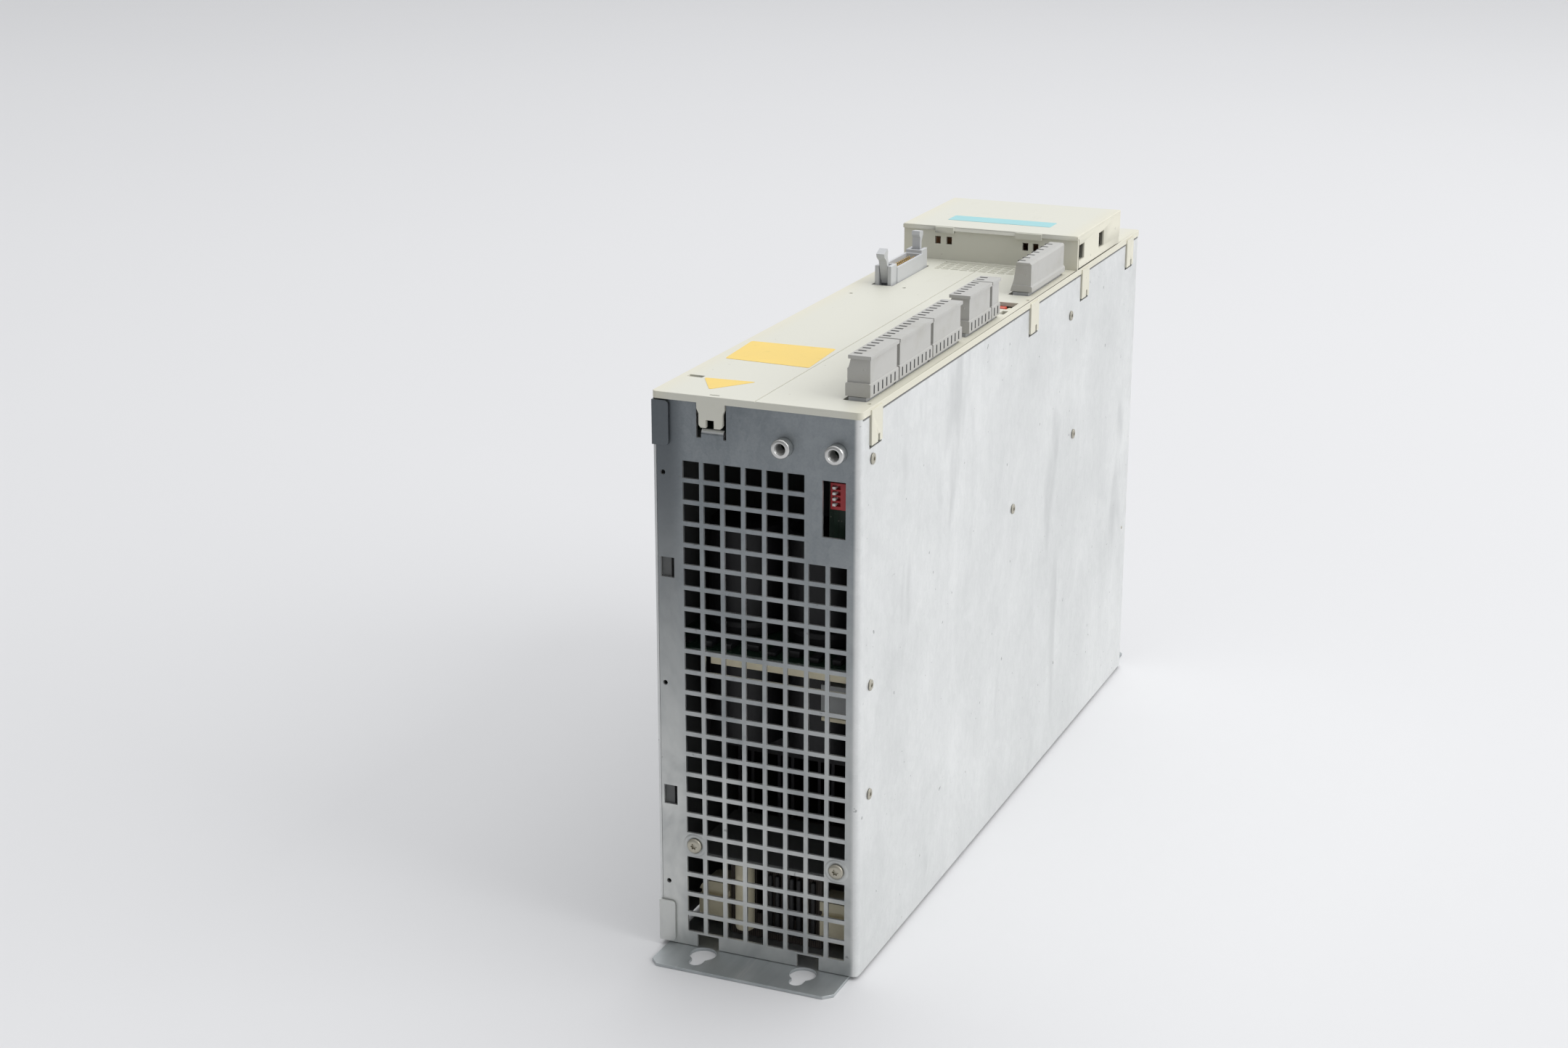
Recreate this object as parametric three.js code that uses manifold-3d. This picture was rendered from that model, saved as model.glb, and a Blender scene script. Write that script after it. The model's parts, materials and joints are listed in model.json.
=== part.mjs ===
// Power supply module of a servo drive system, 100 mm wide, lying on its mounting plate.
// Millimetres. +X: the plain side, +Y: from the top grille to the fan end, +Z: out of the front cover.
// The origin is on the mounting plane, in the middle of the plate.

import * as THREE from 'three';
import { mergeVertices } from 'three/addons/utils/BufferGeometryUtils.js';
import Module from 'manifold-3d';

// ---------------------------------------------------------------- driving dimensions

const bodyWidth = 98.4;
const bodyLength = 436;
const sheetTop = 264;
const sheet = 1.2;
const bendRadius = 2.6;
const gap = 0.3;

const plateThickness = 1.5;
const plateWidth = 90.4;
const flangeReach = 22;
const flangeCorner = 4;
const keyholeSpacing = 50;
const keyholeRadius = 6.3;
const keyslotWidth = 6.6;
const keyholeOffset = 5.6;
const keyslotEnd = 17;

const holePitch = 10;
const holeSize = 8;
const grilleInset = 14;
const grilleTopMargin = 27;
const grilleBottomMargin = 8;
const shortRows = 4;
const shortRowColumns = 6;
const screwRowFromBottom = 5;

const coverRise = 3.5;
const coverSkin = 2;
const coverOverhang = 1;
const coverCorner = 2.4;
const clipWidth = 13;
const clipDrop = 13.4;
const clipThickness = 1.8;
const clipPositions = [16, 238.4, 328];
const endClipInset = 20;
const seamDepth = 0.3;

const lidStart = 313;
const lidLength = 83;
const lidRise = 18.5;
const lidSkin = 2;
const lidAxisInset = 6;
const lidAxisRise = 9.5;
const lidPinRadius = 1.6;

const polePitch = 5.08;
const plugHalfWidth = 5.8;
const plugInset = 9.2;
const plugHeight = 19.8;
const plugWall = 1.8;
const socketInset = 3.2;
const socketClearance = 0.6;
const headerSeat = 1.6;

const fanSize = 80;
const fanDepth = 25;
const fanCentreHeight = 104;

const leverPitch = 2.54;
const leverCount = 4;
const leverTravel = 1.5;

// ---------------------------------------------------------------- derived places

const left = -bodyWidth / 2;
const right = bodyWidth / 2;
const near = -bodyLength / 2;
const far = bodyLength / 2;
const shellFloor = plateThickness + gap;
const coverTop = sheetTop + coverRise;
const clipCentres = [...clipPositions.map((offset) => near + offset), far - endClipInset];
const plugX = right - plugInset;
const lidFront = near + lidStart;
const lidBack = lidFront + lidLength;
const lidTop = coverTop + lidRise;

// ---------------------------------------------------------------- solids

const wasm = await Module();
wasm.setup();

function toSolid(geometry) {
  const bare = geometry.clone();
  bare.deleteAttribute('normal');
  bare.deleteAttribute('uv');
  const merged = mergeVertices(bare, 1e-4);
  return new wasm.Manifold(new wasm.Mesh({
    numProp: 3,
    vertProperties: merged.attributes.position.array,
    triVerts: new Uint32Array(merged.index.array),
  }));
}

function toGeometry(solid) {
  const mesh = solid.getMesh();
  const geometry = new THREE.BufferGeometry();
  geometry.setAttribute('position', new THREE.BufferAttribute(mesh.vertProperties, mesh.numProp));
  geometry.setIndex(new THREE.BufferAttribute(mesh.triVerts, 1));
  geometry.computeVertexNormals();
  return geometry;
}

function join(...pieces) {
  return toGeometry(pieces.map(toSolid).reduce((sum, piece) => sum.add(piece)));
}

function cut(body, ...tools) {
  return toGeometry(tools.map(toSolid).reduce((rest, tool) => rest.subtract(tool), toSolid(body)));
}

// A box between two corners, given as pairs along x, y and z.
function box([x0, x1], [y0, y1], [z0, z1]) {
  const geometry = new THREE.BoxGeometry(x1 - x0, y1 - y0, z1 - z0);
  return geometry.translate((x0 + x1) / 2, (y0 + y1) / 2, (z0 + z1) / 2);
}

function outline(points) {
  return new THREE.Shape(points.map(([u, v]) => new THREE.Vector2(u, v)));
}

// An outline pushed along an axis from `from` to `to`. Its u and v are the two other axes, in the
// order x, y, z.
function prism(shape, axis, from, to, curveSegments = 8) {
  const settings = { depth: to - from, bevelEnabled: false, curveSegments };
  const geometry = new THREE.ExtrudeGeometry(shape, settings);
  if (axis === 'z') return geometry.translate(0, 0, from);
  geometry.rotateX(Math.PI / 2);
  if (axis === 'y') return geometry.translate(0, to, 0);
  geometry.rotateZ(Math.PI / 2);
  return geometry.translate(from, 0, 0);
}

// A round bar along an axis, centred on the two coordinates it is given.
function rod(radius, axis, [from, to], [u, v], segments = 20) {
  const geometry = new THREE.CylinderGeometry(radius, radius, to - from, segments);
  const middle = (from + to) / 2;
  if (axis === 'z') return geometry.rotateX(Math.PI / 2).translate(u, v, middle);
  if (axis === 'x') return geometry.rotateZ(Math.PI / 2).translate(middle, u, v);
  return geometry.translate(u, middle, v);
}

// A turned piece: radius and height pairs from one end of the axis to the other, standing along +Z.
function turned(profile, segments = 24) {
  const points = profile.map(([radius, height]) => new THREE.Vector2(radius, height));
  return new THREE.LatheGeometry(points, segments).rotateX(Math.PI / 2);
}

function roundedRectangle([u0, u1], [v0, v1], radius) {
  const shape = new THREE.Shape();
  shape.moveTo(u0 + radius, v0);
  shape.lineTo(u1 - radius, v0);
  shape.absarc(u1 - radius, v0 + radius, radius, -Math.PI / 2, 0);
  shape.lineTo(u1, v1 - radius);
  shape.absarc(u1 - radius, v1 - radius, radius, 0, Math.PI / 2);
  shape.lineTo(u0 + radius, v1);
  shape.absarc(u0 + radius, v1 - radius, radius, Math.PI / 2, Math.PI);
  shape.lineTo(u0, v0 + radius);
  shape.absarc(u0 + radius, v0 + radius, radius, Math.PI, 1.5 * Math.PI);
  return shape;
}

// ---------------------------------------------------------------- finishes

const finishes = {
  galvanised: { color: 0xb4b8b8, roughness: 0.45, metalness: 0.9 },
  plateSteel: { color: 0x5f6666, roughness: 0.5, metalness: 0.9 },
  coverPlastic: { color: 0xdedccd, roughness: 0.55, metalness: 0 },
  plugPlastic: { color: 0x9a9a96, roughness: 0.5, metalness: 0 },
  headerPlastic: { color: 0xb0b2b4, roughness: 0.5, metalness: 0 },
  zinc: { color: 0xc8c0a0, roughness: 0.35, metalness: 1 },
  nickel: { color: 0xd0d0cc, roughness: 0.25, metalness: 1 },
  copper: { color: 0xb5734a, roughness: 0.35, metalness: 1 },
  aluminium: { color: 0xa8abae, roughness: 0.4, metalness: 1 },
  board: { color: 0x2c5a3a, roughness: 0.5, metalness: 0 },
  blackPlastic: { color: 0x18181a, roughness: 0.5, metalness: 0 },
  redPlastic: { color: 0xa02028, roughness: 0.45, metalness: 0 },
  whitePlastic: { color: 0xe8e8e4, roughness: 0.4, metalness: 0 },
  creamPlastic: { color: 0xd8cda8, roughness: 0.55, metalness: 0 },
  greyPlastic: { color: 0x8c9092, roughness: 0.5, metalness: 0 },
  winding: { color: 0x4a3428, roughness: 0.5, metalness: 0.3 },
};

const materials = {};
for (const [name, values] of Object.entries(finishes)) {
  materials[name] = new THREE.MeshStandardMaterial(values);
}

function part(name, finish, geometry) {
  const mesh = new THREE.Mesh(geometry, materials[finish]);
  mesh.name = name;
  return mesh;
}

function group(...children) {
  const holder = new THREE.Group();
  for (const child of children) holder.add(child);
  return holder;
}

// ---------------------------------------------------------------- mounting plate

// Each keyhole is wide next to the body and narrows towards the end of its flange.
function keyhole(x, end) {
  const middle = end * (bodyLength / 2 + keyholeOffset);
  const tip = end * (bodyLength / 2 + keyslotEnd - keyslotWidth / 2);
  const span = [-gap, plateThickness + gap];
  const slotEnds = [Math.min(middle, tip), Math.max(middle, tip)];
  const slot = box([x - keyslotWidth / 2, x + keyslotWidth / 2], slotEnds, span);
  return join(rod(keyholeRadius, 'z', span, [x, middle]), slot, rod(keyslotWidth / 2, 'z', span, [x, tip]));
}

function backPlate() {
  const half = plateWidth / 2;
  const end = bodyLength / 2 + flangeReach;
  const shape = outline([
    [-half + flangeCorner, -end], [half - flangeCorner, -end], [half, -end + flangeCorner],
    [half, end - flangeCorner], [half - flangeCorner, end], [-half + flangeCorner, end],
    [-half, end - flangeCorner], [-half, -end + flangeCorner],
  ]);
  const keyholes = [];
  for (const side of [-1, 1]) {
    keyholes.push(keyhole(-keyholeSpacing / 2, side), keyhole(keyholeSpacing / 2, side));
  }
  return cut(prism(shape, 'z', 0, plateThickness), ...keyholes);
}

// ---------------------------------------------------------------- folded shell

const nearInner = near + sheet;
const farInner = far - sheet;
const shellLeft = left + sheet + gap;
const grilleLeft = left + grilleInset;
const grilleTop = sheetTop - grilleTopMargin;
const grilleRows = Math.floor((grilleTop - shellFloor - grilleBottomMargin + holePitch) / holePitch);
const grilleColumns = Math.floor((bodyWidth - grilleInset - bendRadius - sheet) / holePitch);
const screwRow = grilleRows - screwRowFromBottom;
const faceScrewZ = grilleTop - screwRow * holePitch - holeSize / 2;
const faceScrewX = [grilleLeft + holeSize / 2, grilleLeft + (grilleColumns - 1) * holePitch + holeSize / 2];
const faceScrewShank = 1.9;

const switchWindow = {
  x: [right - 18, right - 7.2],
  z: [sheetTop - 54, sheetTop - 28.4],
};
const bushX = [right - 36, right - 11.1];
const bushZ = sheetTop - 15.5;
const bushBore = 2.4;
const bushCollar = 3.2;
const latchNotch = { x: [left + 20.9, left + 35.2], z: sheetTop - 15.8 };
const tabWindowHeights = [sheetTop - 77.4, plateThickness + 75];

const sideScrews = [
  [near + 12.8, sheetTop - 20],
  [near + 12.8, 139.8],
  [near + 12.8, 87.5],
  [near + 304.5, sheetTop - 19],
  [near + 316, sheetTop - 87],
  [near + 212.4, sheetTop - 100],
];
const sideScrewShank = 1.4;

const fanBore = fanSize / 2 - 2.5;
const fanCentre = [0, fanCentreHeight];

// A straight sheet with the bend's two arcs at a corner; the fold runs along z.
function foldedOutline() {
  const outer = bendRadius;
  const inner = bendRadius - sheet;
  const shape = new THREE.Shape();
  shape.moveTo(shellLeft, near);
  shape.lineTo(right - outer, near);
  shape.absarc(right - outer, near + outer, outer, -Math.PI / 2, 0);
  shape.lineTo(right, far - outer);
  shape.absarc(right - outer, far - outer, outer, 0, Math.PI / 2);
  shape.lineTo(shellLeft, far);
  shape.lineTo(shellLeft, farInner);
  shape.lineTo(right - outer, farInner);
  shape.absarc(right - outer, far - outer, inner, Math.PI / 2, 0, true);
  shape.lineTo(right - sheet, near + outer);
  shape.absarc(right - outer, near + outer, inner, 0, -Math.PI / 2, true);
  shape.lineTo(shellLeft, nearInner);
  return shape;
}

function grilleHole(row, column, y) {
  const x = grilleLeft + column * holePitch;
  const z = grilleTop - row * holePitch;
  return box([x, x + holeSize], y, [z - holeSize, z]);
}

// The first rows stop short of the switch window.
function nearGrille() {
  const holes = [];
  const through = [near - 1, nearInner + 1];
  const besideWindow = Math.floor((switchWindow.x[0] - grilleLeft) / holePitch);
  for (let row = 0; row < grilleRows; row += 1) {
    const columns = row < shortRows ? Math.min(shortRowColumns, besideWindow) : grilleColumns;
    for (let column = 0; column < columns; column += 1) {
      const underScrew = row === screwRow && (column === 0 || column === grilleColumns - 1);
      if (!underScrew) holes.push(grilleHole(row, column, through));
    }
  }
  return holes;
}

// The fan end has two wide vents in each row, above and below the fan only.
function farVents() {
  const holes = [];
  const through = [farInner - 1, far + 1];
  const clear = fanSize / 2 + 6;
  for (let row = 0; row < grilleRows; row += 1) {
    const top = grilleTop - row * holePitch;
    const beside = top > fanCentreHeight - clear && top - holeSize < fanCentreHeight + clear;
    if (beside || row < shortRows) continue;
    for (const column of [0, grilleColumns / 2]) {
      const x = grilleLeft + column * holePitch;
      const width = (grilleColumns / 2) * holePitch - (holePitch - holeSize);
      holes.push(box([x, x + width], through, [top - holeSize, top]));
    }
  }
  return holes;
}

function nearFaceCuts() {
  const through = [near - 1, nearInner + 1];
  const cuts = [
    box(switchWindow.x, through, switchWindow.z),
    box(latchNotch.x, through, [latchNotch.z, sheetTop + 1]),
  ];
  for (const x of bushX) cuts.push(rod(bushCollar + gap, 'y', through, [x, bushZ]));
  for (const x of faceScrewX) cuts.push(rod(faceScrewShank + gap, 'y', through, [x, faceScrewZ], 16));
  for (const z of tabWindowHeights) cuts.push(box([left + 2.8, left + 9.4], through, [z - 4.7, z + 4.7]));
  for (const [inset, z] of [[4.5, sheetTop - 33.4], [4.2, sheetTop / 2 - 0.7], [4.6, 32.9]]) {
    cuts.push(rod(1.2, 'y', through, [left + inset, z], 8));
  }
  for (const side of [-1, 1]) {
    const x = side * keyholeSpacing / 2;
    cuts.push(box([x - 5.4, x + 5.4], through, [shellFloor - 1, shellFloor + 6.2]));
  }
  return cuts;
}

function clipNotch(y, x) {
  const half = clipWidth / 2 + 0.8;
  return box(x, [y - half, y + half], [sheetTop - clipDrop - 1.4, sheetTop + 1]);
}

function mainShell() {
  const cuts = [...nearGrille(), ...farVents(), ...nearFaceCuts()];
  for (const y of clipCentres) cuts.push(clipNotch(y, [right - sheet - 1, right + 1]));
  for (const [y, z] of sideScrews) {
    cuts.push(rod(sideScrewShank + gap, 'x', [right - sheet - 1, right + 1], [y, z], 12));
  }
  cuts.push(rod(fanBore, 'y', [farInner - 1, far + 1], fanCentre, 40));
  cuts.push(box(latchNotch.x, [farInner - 1, far + 1], [latchNotch.z, sheetTop + 1]));
  const folded = cut(prism(foldedOutline(), 'z', shellFloor, sheetTop, 8), ...cuts);
  const springs = [];
  for (const [face, inward] of [[near, 1], [far, -1]]) springs.push(latchSpring(face, inward));
  return join(folded, ...springs);
}

// The tongue that the cover's catch snaps over, rolled back at its tip.
function latchSpring(face, inward) {
  const inset = 2.3;
  const x = [latchNotch.x[0] + inset, latchNotch.x[1] - inset + 0.9];
  const base = latchNotch.z - 0.5;
  const tip = latchNotch.z + 4.2;
  const profile = outline([
    [face, base], [face, tip - 2.4], [face + inward * 0.5, tip - 1], [face + inward * 1.6, tip],
    [face + inward * 2.2, tip - 0.8], [face + inward * 1.3, tip - 2], [face + inward * 1, base],
  ]);
  return prism(profile, 'x', x[0], x[1]);
}

// ---------------------------------------------------------------- left panel

const tabReach = 8;
const tabHeight = 20.4;

function leftPanel() {
  const inner = left + sheet;
  const pieces = [box([left, inner], [near + gap, far - gap], [shellFloor, sheetTop])];
  for (const side of [-1, 1]) {
    const face = side * bodyLength / 2;
    const outside = [face + side * gap, face + side * (gap + sheet)].sort((a, b) => a - b);
    const wrap = [face - side * 2, face + side * (gap + sheet)].sort((a, b) => a - b);
    for (const bottom of [shellFloor + 1, sheetTop - tabHeight - gap]) {
      const heights = [bottom, bottom + tabHeight];
      pieces.push(box([left, inner], wrap, heights));
      pieces.push(prism(roundedTab(heights), 'y', outside[0], outside[1], 4));
    }
  }
  const behind = [nearInner + gap, nearInner + gap + sheet];
  for (const z of tabWindowHeights) {
    pieces.push(box([inner - 0.5, left + 7.4], behind, [z - 7, z + 7]));
  }
  const notches = clipCentres.map((y) => clipNotch(y, [left - 1, inner + 1]));
  return cut(join(...pieces), ...notches);
}

function roundedTab([low, high]) {
  const corner = 2;
  const end = left + tabReach;
  const shape = new THREE.Shape();
  shape.moveTo(left, low);
  shape.lineTo(end - corner, low);
  shape.absarc(end - corner, low + corner, corner, -Math.PI / 2, 0);
  shape.lineTo(end, high - corner);
  shape.absarc(end - corner, high - corner, corner, 0, Math.PI / 2);
  shape.lineTo(left, high);
  return shape;
}

// ---------------------------------------------------------------- screws and bushes

// A pan head screw with its axis on +Z and the underside of its head at zero.
function panScrew(headRadius, headHeight, shankRadius, shankLength, driveRadius) {
  const body = turned([
    [0, -shankLength], [shankRadius, -shankLength], [shankRadius, 0], [headRadius, 0],
    [headRadius, headHeight * 0.45], [headRadius * 0.72, headHeight], [0, headHeight],
  ], 12);
  const drive = new THREE.CylinderGeometry(driveRadius, driveRadius, headHeight, 6);
  return cut(body, drive.rotateX(Math.PI / 2).translate(0, 0, headHeight));
}

function faceScrew() {
  return panScrew(3.7, 2.2, faceScrewShank, 5, 1.2).rotateX(Math.PI / 2);
}

function sideScrew() {
  return panScrew(2.7, 0.5, sideScrewShank, 3.4, 0.8).rotateY(Math.PI / 2);
}

// A threaded bush pressed into the near face; its collar passes through the sheet.
function threadedBush() {
  const bush = turned([
    [bushBore, -3], [bushCollar, -3], [bushCollar, gap], [4.4, gap], [4.4, 4.1], [3.6, 4.9],
    [bushBore, 4.9], [bushBore, -3],
  ], 20);
  return bush.rotateX(Math.PI / 2);
}

function screwsAndBushes() {
  const holder = group();
  ['left', 'right'].forEach((side, index) => {
    const screw = part(`face_screw_${side}`, 'zinc', faceScrew());
    screw.position.set(faceScrewX[index], near - gap, faceScrewZ);
    const bush = part(`threaded_bush_${side}`, 'nickel', threadedBush());
    bush.position.set(bushX[index], near, bushZ);
    holder.add(screw, bush);
  });
  sideScrews.forEach(([y, z], index) => {
    const screw = part(`side_screw_${index + 1}`, 'zinc', sideScrew());
    screw.position.set(right + gap, y, z);
    holder.add(screw);
  });
  return holder;
}

// ---------------------------------------------------------------- terminal row

// The connectors on the front, in a row from the near end. `before` is the space in front of each
// one and `ends` is what its body adds to the length of its poles.
const row = [
  { name: 'a', before: 18, poles: 6, pitch: polePitch, ends: 4.02 },
  { name: 'b', before: 1.5, poles: 8, pitch: polePitch, ends: 1.56 },
  { name: 'c', before: 1.3, poles: 7, pitch: polePitch, ends: 3.94 },
  { name: 'd', before: 10.6, poles: 6, pitch: polePitch, ends: 2.12 },
  { name: 'e', before: 1.2, poles: 2, pitch: polePitch, ends: 2.04 },
];
const connectors = [];
let rowEnd = near;
for (const entry of row) {
  const start = rowEnd + entry.before;
  rowEnd = start + entry.poles * entry.pitch + entry.ends;
  connectors.push({ ...entry, span: [start, rowEnd] });
}
// The power connector stands in front of the lid.
const powerPitch = 7.62;
const powerPoles = 7;
const powerEnd = lidFront - 11;
connectors.push({
  name: 'f',
  poles: powerPoles,
  pitch: powerPitch,
  span: [powerEnd - powerPoles * powerPitch - 3.66, powerEnd],
});
const boardTop = sheetTop - 14;
const boardThickness = 1.6;

function plugOutline(tall) {
  const w = plugHalfWidth;
  const h = plugHeight - (tall ? 3 : 0);
  const seat = coverTop + headerSeat;
  const top = coverTop + h;
  if (tall) {
    return outline([
      [-w, seat], [w, seat], [w, seat + 2.6], [w - 0.7, seat + 3.4], [w - 0.7, top - 1],
      [w - 1.4, top], [-w + 3, top], [-w + 1.6, seat + 6],
    ]);
  }
  return outline([
    [-w, seat], [w, seat], [w, seat + 5.6], [w - 0.5, seat + 6], [w - 0.5, top - 1.6],
    [w + 0.2, top - 1.6], [w + 0.2, top], [-w + 1.2, top], [-w + 1.2, top - 1.6], [-w + 2.1, top - 1.6],
    [-w + 0.9, top - 6], [-w + 0.5, top - 6], [-w + 0.5, seat + 5.6], [-w, seat + 5.6],
  ]);
}

// A pull-off screw terminal: wire mouths along the top, a comb at the foot of its outer face,
// and a socket underneath for the header's pins. Between foot and cap its ends are set back.
function terminalPlug({ poles, pitch, span }) {
  const [y0, y1] = span;
  const tall = pitch > polePitch;
  const top = coverTop + plugHeight - (tall ? 3 : 0);
  const seat = coverTop + headerSeat;
  const body = prism(plugOutline(tall), 'y', y0, y1);
  const socket = plugHalfWidth - socketInset;
  const cuts = [box([-socket, socket], [y0 + plugWall, y1 - plugWall], [seat - 1, seat + 7])];
  for (let pole = 0; pole < poles; pole += 1) {
    const y = (y0 + y1) / 2 + (pole - (poles - 1) / 2) * pitch;
    cuts.push(box([-plugHalfWidth + 2, 0.2], [y - 0.9, y + 0.9], [top - 4, top + 1]));
    if (tall) continue;
    const comb = [plugHalfWidth - 1.4, plugHalfWidth + 1];
    cuts.push(box(comb, [y - 0.6, y + 0.6], [seat + 0.8, seat + 4.8]));
  }
  const across = [-plugHalfWidth - 1, plugHalfWidth + 1];
  const waist = tall ? [seat + 3.4, top - 1] : [seat + 6, top - 1.6];
  const setBack = tall ? 0.4 : 1.1;
  cuts.push(box(across, [y0 - 1, y0 + setBack], waist));
  cuts.push(box(across, [y1 - setBack, y1 + 1], waist));
  return cut(body, ...cuts).translate(plugX, 0, 0);
}

// The board-mounted socket under each plug, with one tongue that reaches into it.
function terminalHeader({ span: [y0, y1] }) {
  const seat = coverTop + headerSeat - gap;
  const base = box(
    [-plugHalfWidth + 1.2, plugHalfWidth - 2],
    [y0 + socketClearance, y1 - socketClearance],
    [boardTop + gap, seat],
  );
  const half = plugHalfWidth - socketInset - socketClearance;
  const inset = plugWall + socketClearance;
  const tongue = box([-half, half], [y0 + inset, y1 - inset], [seat - 0.5, seat + 5.6]);
  return join(base, tongue).translate(plugX, 0, 0);
}

function terminalRow() {
  const holder = group();
  for (const connector of connectors) {
    holder.add(part(`terminal_plug_${connector.name}`, 'plugPlastic', terminalPlug(connector)));
    holder.add(part(`terminal_header_${connector.name}`, 'headerPlastic', terminalHeader(connector)));
  }
  return holder;
}

// ---------------------------------------------------------------- ribbon cable header

const ribbon = {
  x: [left + 10.9, left + 21.1],
  y: [lidFront - 73, lidFront - 18.5],
  lug: 8,
  rise: 8.2,
  lugRise: 10,
};
const latchPivotZ = coverTop + 2.4;
const latchPivotInset = 4.4;
const latchPinRadius = 1;
const latchPin = 3.3;
const latchHalf = 2.2;
const latchOpenNear = 18;

function ribbonHeader() {
  const [x0, x1] = ribbon.x;
  const [y0, y1] = ribbon.y;
  const middle = (x0 + x1) / 2;
  const floor = boardTop + gap;
  const pieces = [box([x0, x1], [y0 + ribbon.lug, y1 - ribbon.lug], [floor, coverTop + ribbon.rise])];
  const cuts = [box(
    [x0 + 1.3, x1 - 1.3],
    [y0 + ribbon.lug + 1.5, y1 - ribbon.lug - 1.5],
    [coverTop - 0.5, coverTop + ribbon.rise + 1],
  )];
  for (const [end, inward] of [[y0, 1], [y1, -1]]) {
    const lug = [end, end + inward * (ribbon.lug + 0.5)].sort((a, b) => a - b);
    pieces.push(box([x0 + 0.6, x1 - 0.6], lug, [floor, coverTop + ribbon.lugRise]));
    const slot = [end - inward, end + inward * (ribbon.lug - 0.8)].sort((a, b) => a - b);
    cuts.push(box([middle - latchHalf - gap, middle + latchHalf + gap], slot, [coverTop - 3, lidTop]));
    const pivot = [end + inward * latchPivotInset, latchPivotZ];
    const seat = [middle - latchPin - gap, middle + latchPin + gap];
    cuts.push(rod(latchPinRadius + gap, 'x', seat, pivot, 16));
  }
  return cut(join(...pieces), ...cuts);
}

// The ejector arm ends in a hooked thumb rest and can stand open by some degrees.
function ejectorLatch(end, inward, open) {
  const middle = (ribbon.x[0] + ribbon.x[1]) / 2;
  const pivot = end + inward * latchPivotInset;
  const toY = (offset) => pivot - inward * offset;
  const shape = outline([
    [toY(-2.1), latchPivotZ - 1.2], [toY(1.5), latchPivotZ - 1.7], [toY(1.6), latchPivotZ + 11.4],
    [toY(3.9), latchPivotZ + 14.6], [toY(3.8), latchPivotZ + 16.6], [toY(-1.4), latchPivotZ + 17.2],
    [toY(-1.9), latchPivotZ + 15.2], [toY(-0.6), latchPivotZ + 13.6], [toY(-0.7), latchPivotZ + 0.8],
    [toY(-2.1), latchPivotZ + 0.2],
  ]);
  const arm = prism(shape, 'x', middle - latchHalf, middle + latchHalf);
  arm.translate(0, -pivot, -latchPivotZ);
  arm.rotateX(inward * THREE.MathUtils.degToRad(open));
  arm.translate(0, pivot, latchPivotZ);
  const pin = rod(latchPinRadius, 'x', [middle - latchPin, middle + latchPin], [pivot, latchPivotZ], 16);
  return join(arm, pin);
}

// ---------------------------------------------------------------- front cover

const rearOpening = {
  windowX: [right - 16.4, right - 4.2],
  windowY: [rowEnd + 17.2, rowEnd + 32.4],
  slotX: [right - 6.4, right - 3.4],
  slotY: [rowEnd + 6, rowEnd + 13.4],
};
const lidWall = 1.6;
const lidOverlap = 0.4;
const earX = right - 7.6;
const earThickness = 2.6;
const lidAxisY = lidBack - lidAxisInset;
const lidAxisZ = coverTop + lidAxisRise;

function coverClip(y, side) {
  const outer = side * (right + 0.8);
  const inner = outer - side * clipThickness;
  const x = [inner, outer].sort((a, b) => a - b);
  const bottom = sheetTop - clipDrop;
  const clip = box(x, [y - clipWidth / 2, y + clipWidth / 2], [bottom, coverTop - 1.2]);
  return cut(clip, box([x[0] - 1, x[1] + 1], [y + 1, y + 3.4], [bottom - 1, bottom + 3.4]));
}

// The catch at each end narrows in two steps and is notched at its tip.
function coverCatch(face, outward) {
  const [x0, x1] = latchNotch.x;
  const bottom = latchNotch.z + 5;
  const shape = outline([
    [x0 + 0.6, coverTop - 1.4], [x0 + 0.6, sheetTop - 2.2], [x0 + 1.6, sheetTop - 4.6],
    [x0 + 1.6, bottom + 1.2], [x0 + 2.6, bottom], [x1 - 2.4, bottom], [x1 - 1.4, bottom + 1.2],
    [x1 - 1.4, sheetTop - 4.6], [x1 - 0.4, sheetTop - 2.2], [x1 - 0.4, coverTop - 1.4],
  ]);
  const y = [face + outward * coverOverhang, face - outward * 1].sort((a, b) => a - b);
  const notch = box([x0 + 5, x0 + 8.9], [y[0] - 1, y[1] + 1], [bottom - 1, bottom + 3.6]);
  return cut(prism(shape, 'y', y[0], y[1]), notch);
}

function coverOpenings() {
  const through = [sheetTop - 1, coverTop + 1];
  const cuts = [
    box(rearOpening.windowX, rearOpening.windowY, through),
    box(rearOpening.slotX, rearOpening.slotY, through),
    box([ribbon.x[0] - 1, ribbon.x[1] + 0.5], [ribbon.y[0] - 1, ribbon.y[1] + 1], through),
    box([left + 3.4, left + 11], [near + 28, near + 31.4], through),
    box([left + 26.6, left + 31.2], [near + 1.6, near + 2.6], through),
    box([left + 9, right - 9], [lidFront + 5, lidBack - 12], through),
  ];
  const beside = [plugX - plugHalfWidth - 0.8, plugX + plugHalfWidth - 1.2];
  for (const { span: [y0, y1] } of connectors) cuts.push(box(beside, [y0 - 1.2, y1 + 0.4], through));
  const pinholes = [
    [right - 2.6, near + 14.7], [left + 8, near + 215.3], [left + 28.6, near + 237.7],
    [right - 2.2, near + 234.5],
  ];
  for (const place of pinholes) cuts.push(rod(1, 'z', through, place, 8));
  return cuts;
}

// Shallow vents between the terminal row and the lid.
function coverRibs() {
  const cuts = [];
  const pitch = 3;
  for (let y = lidFront - 23; y < lidFront - 4; y += pitch) {
    cuts.push(box([left + 26, right - 24], [y, y + 1.4], [coverTop - 0.5, coverTop + 1]));
  }
  return cuts;
}

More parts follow.
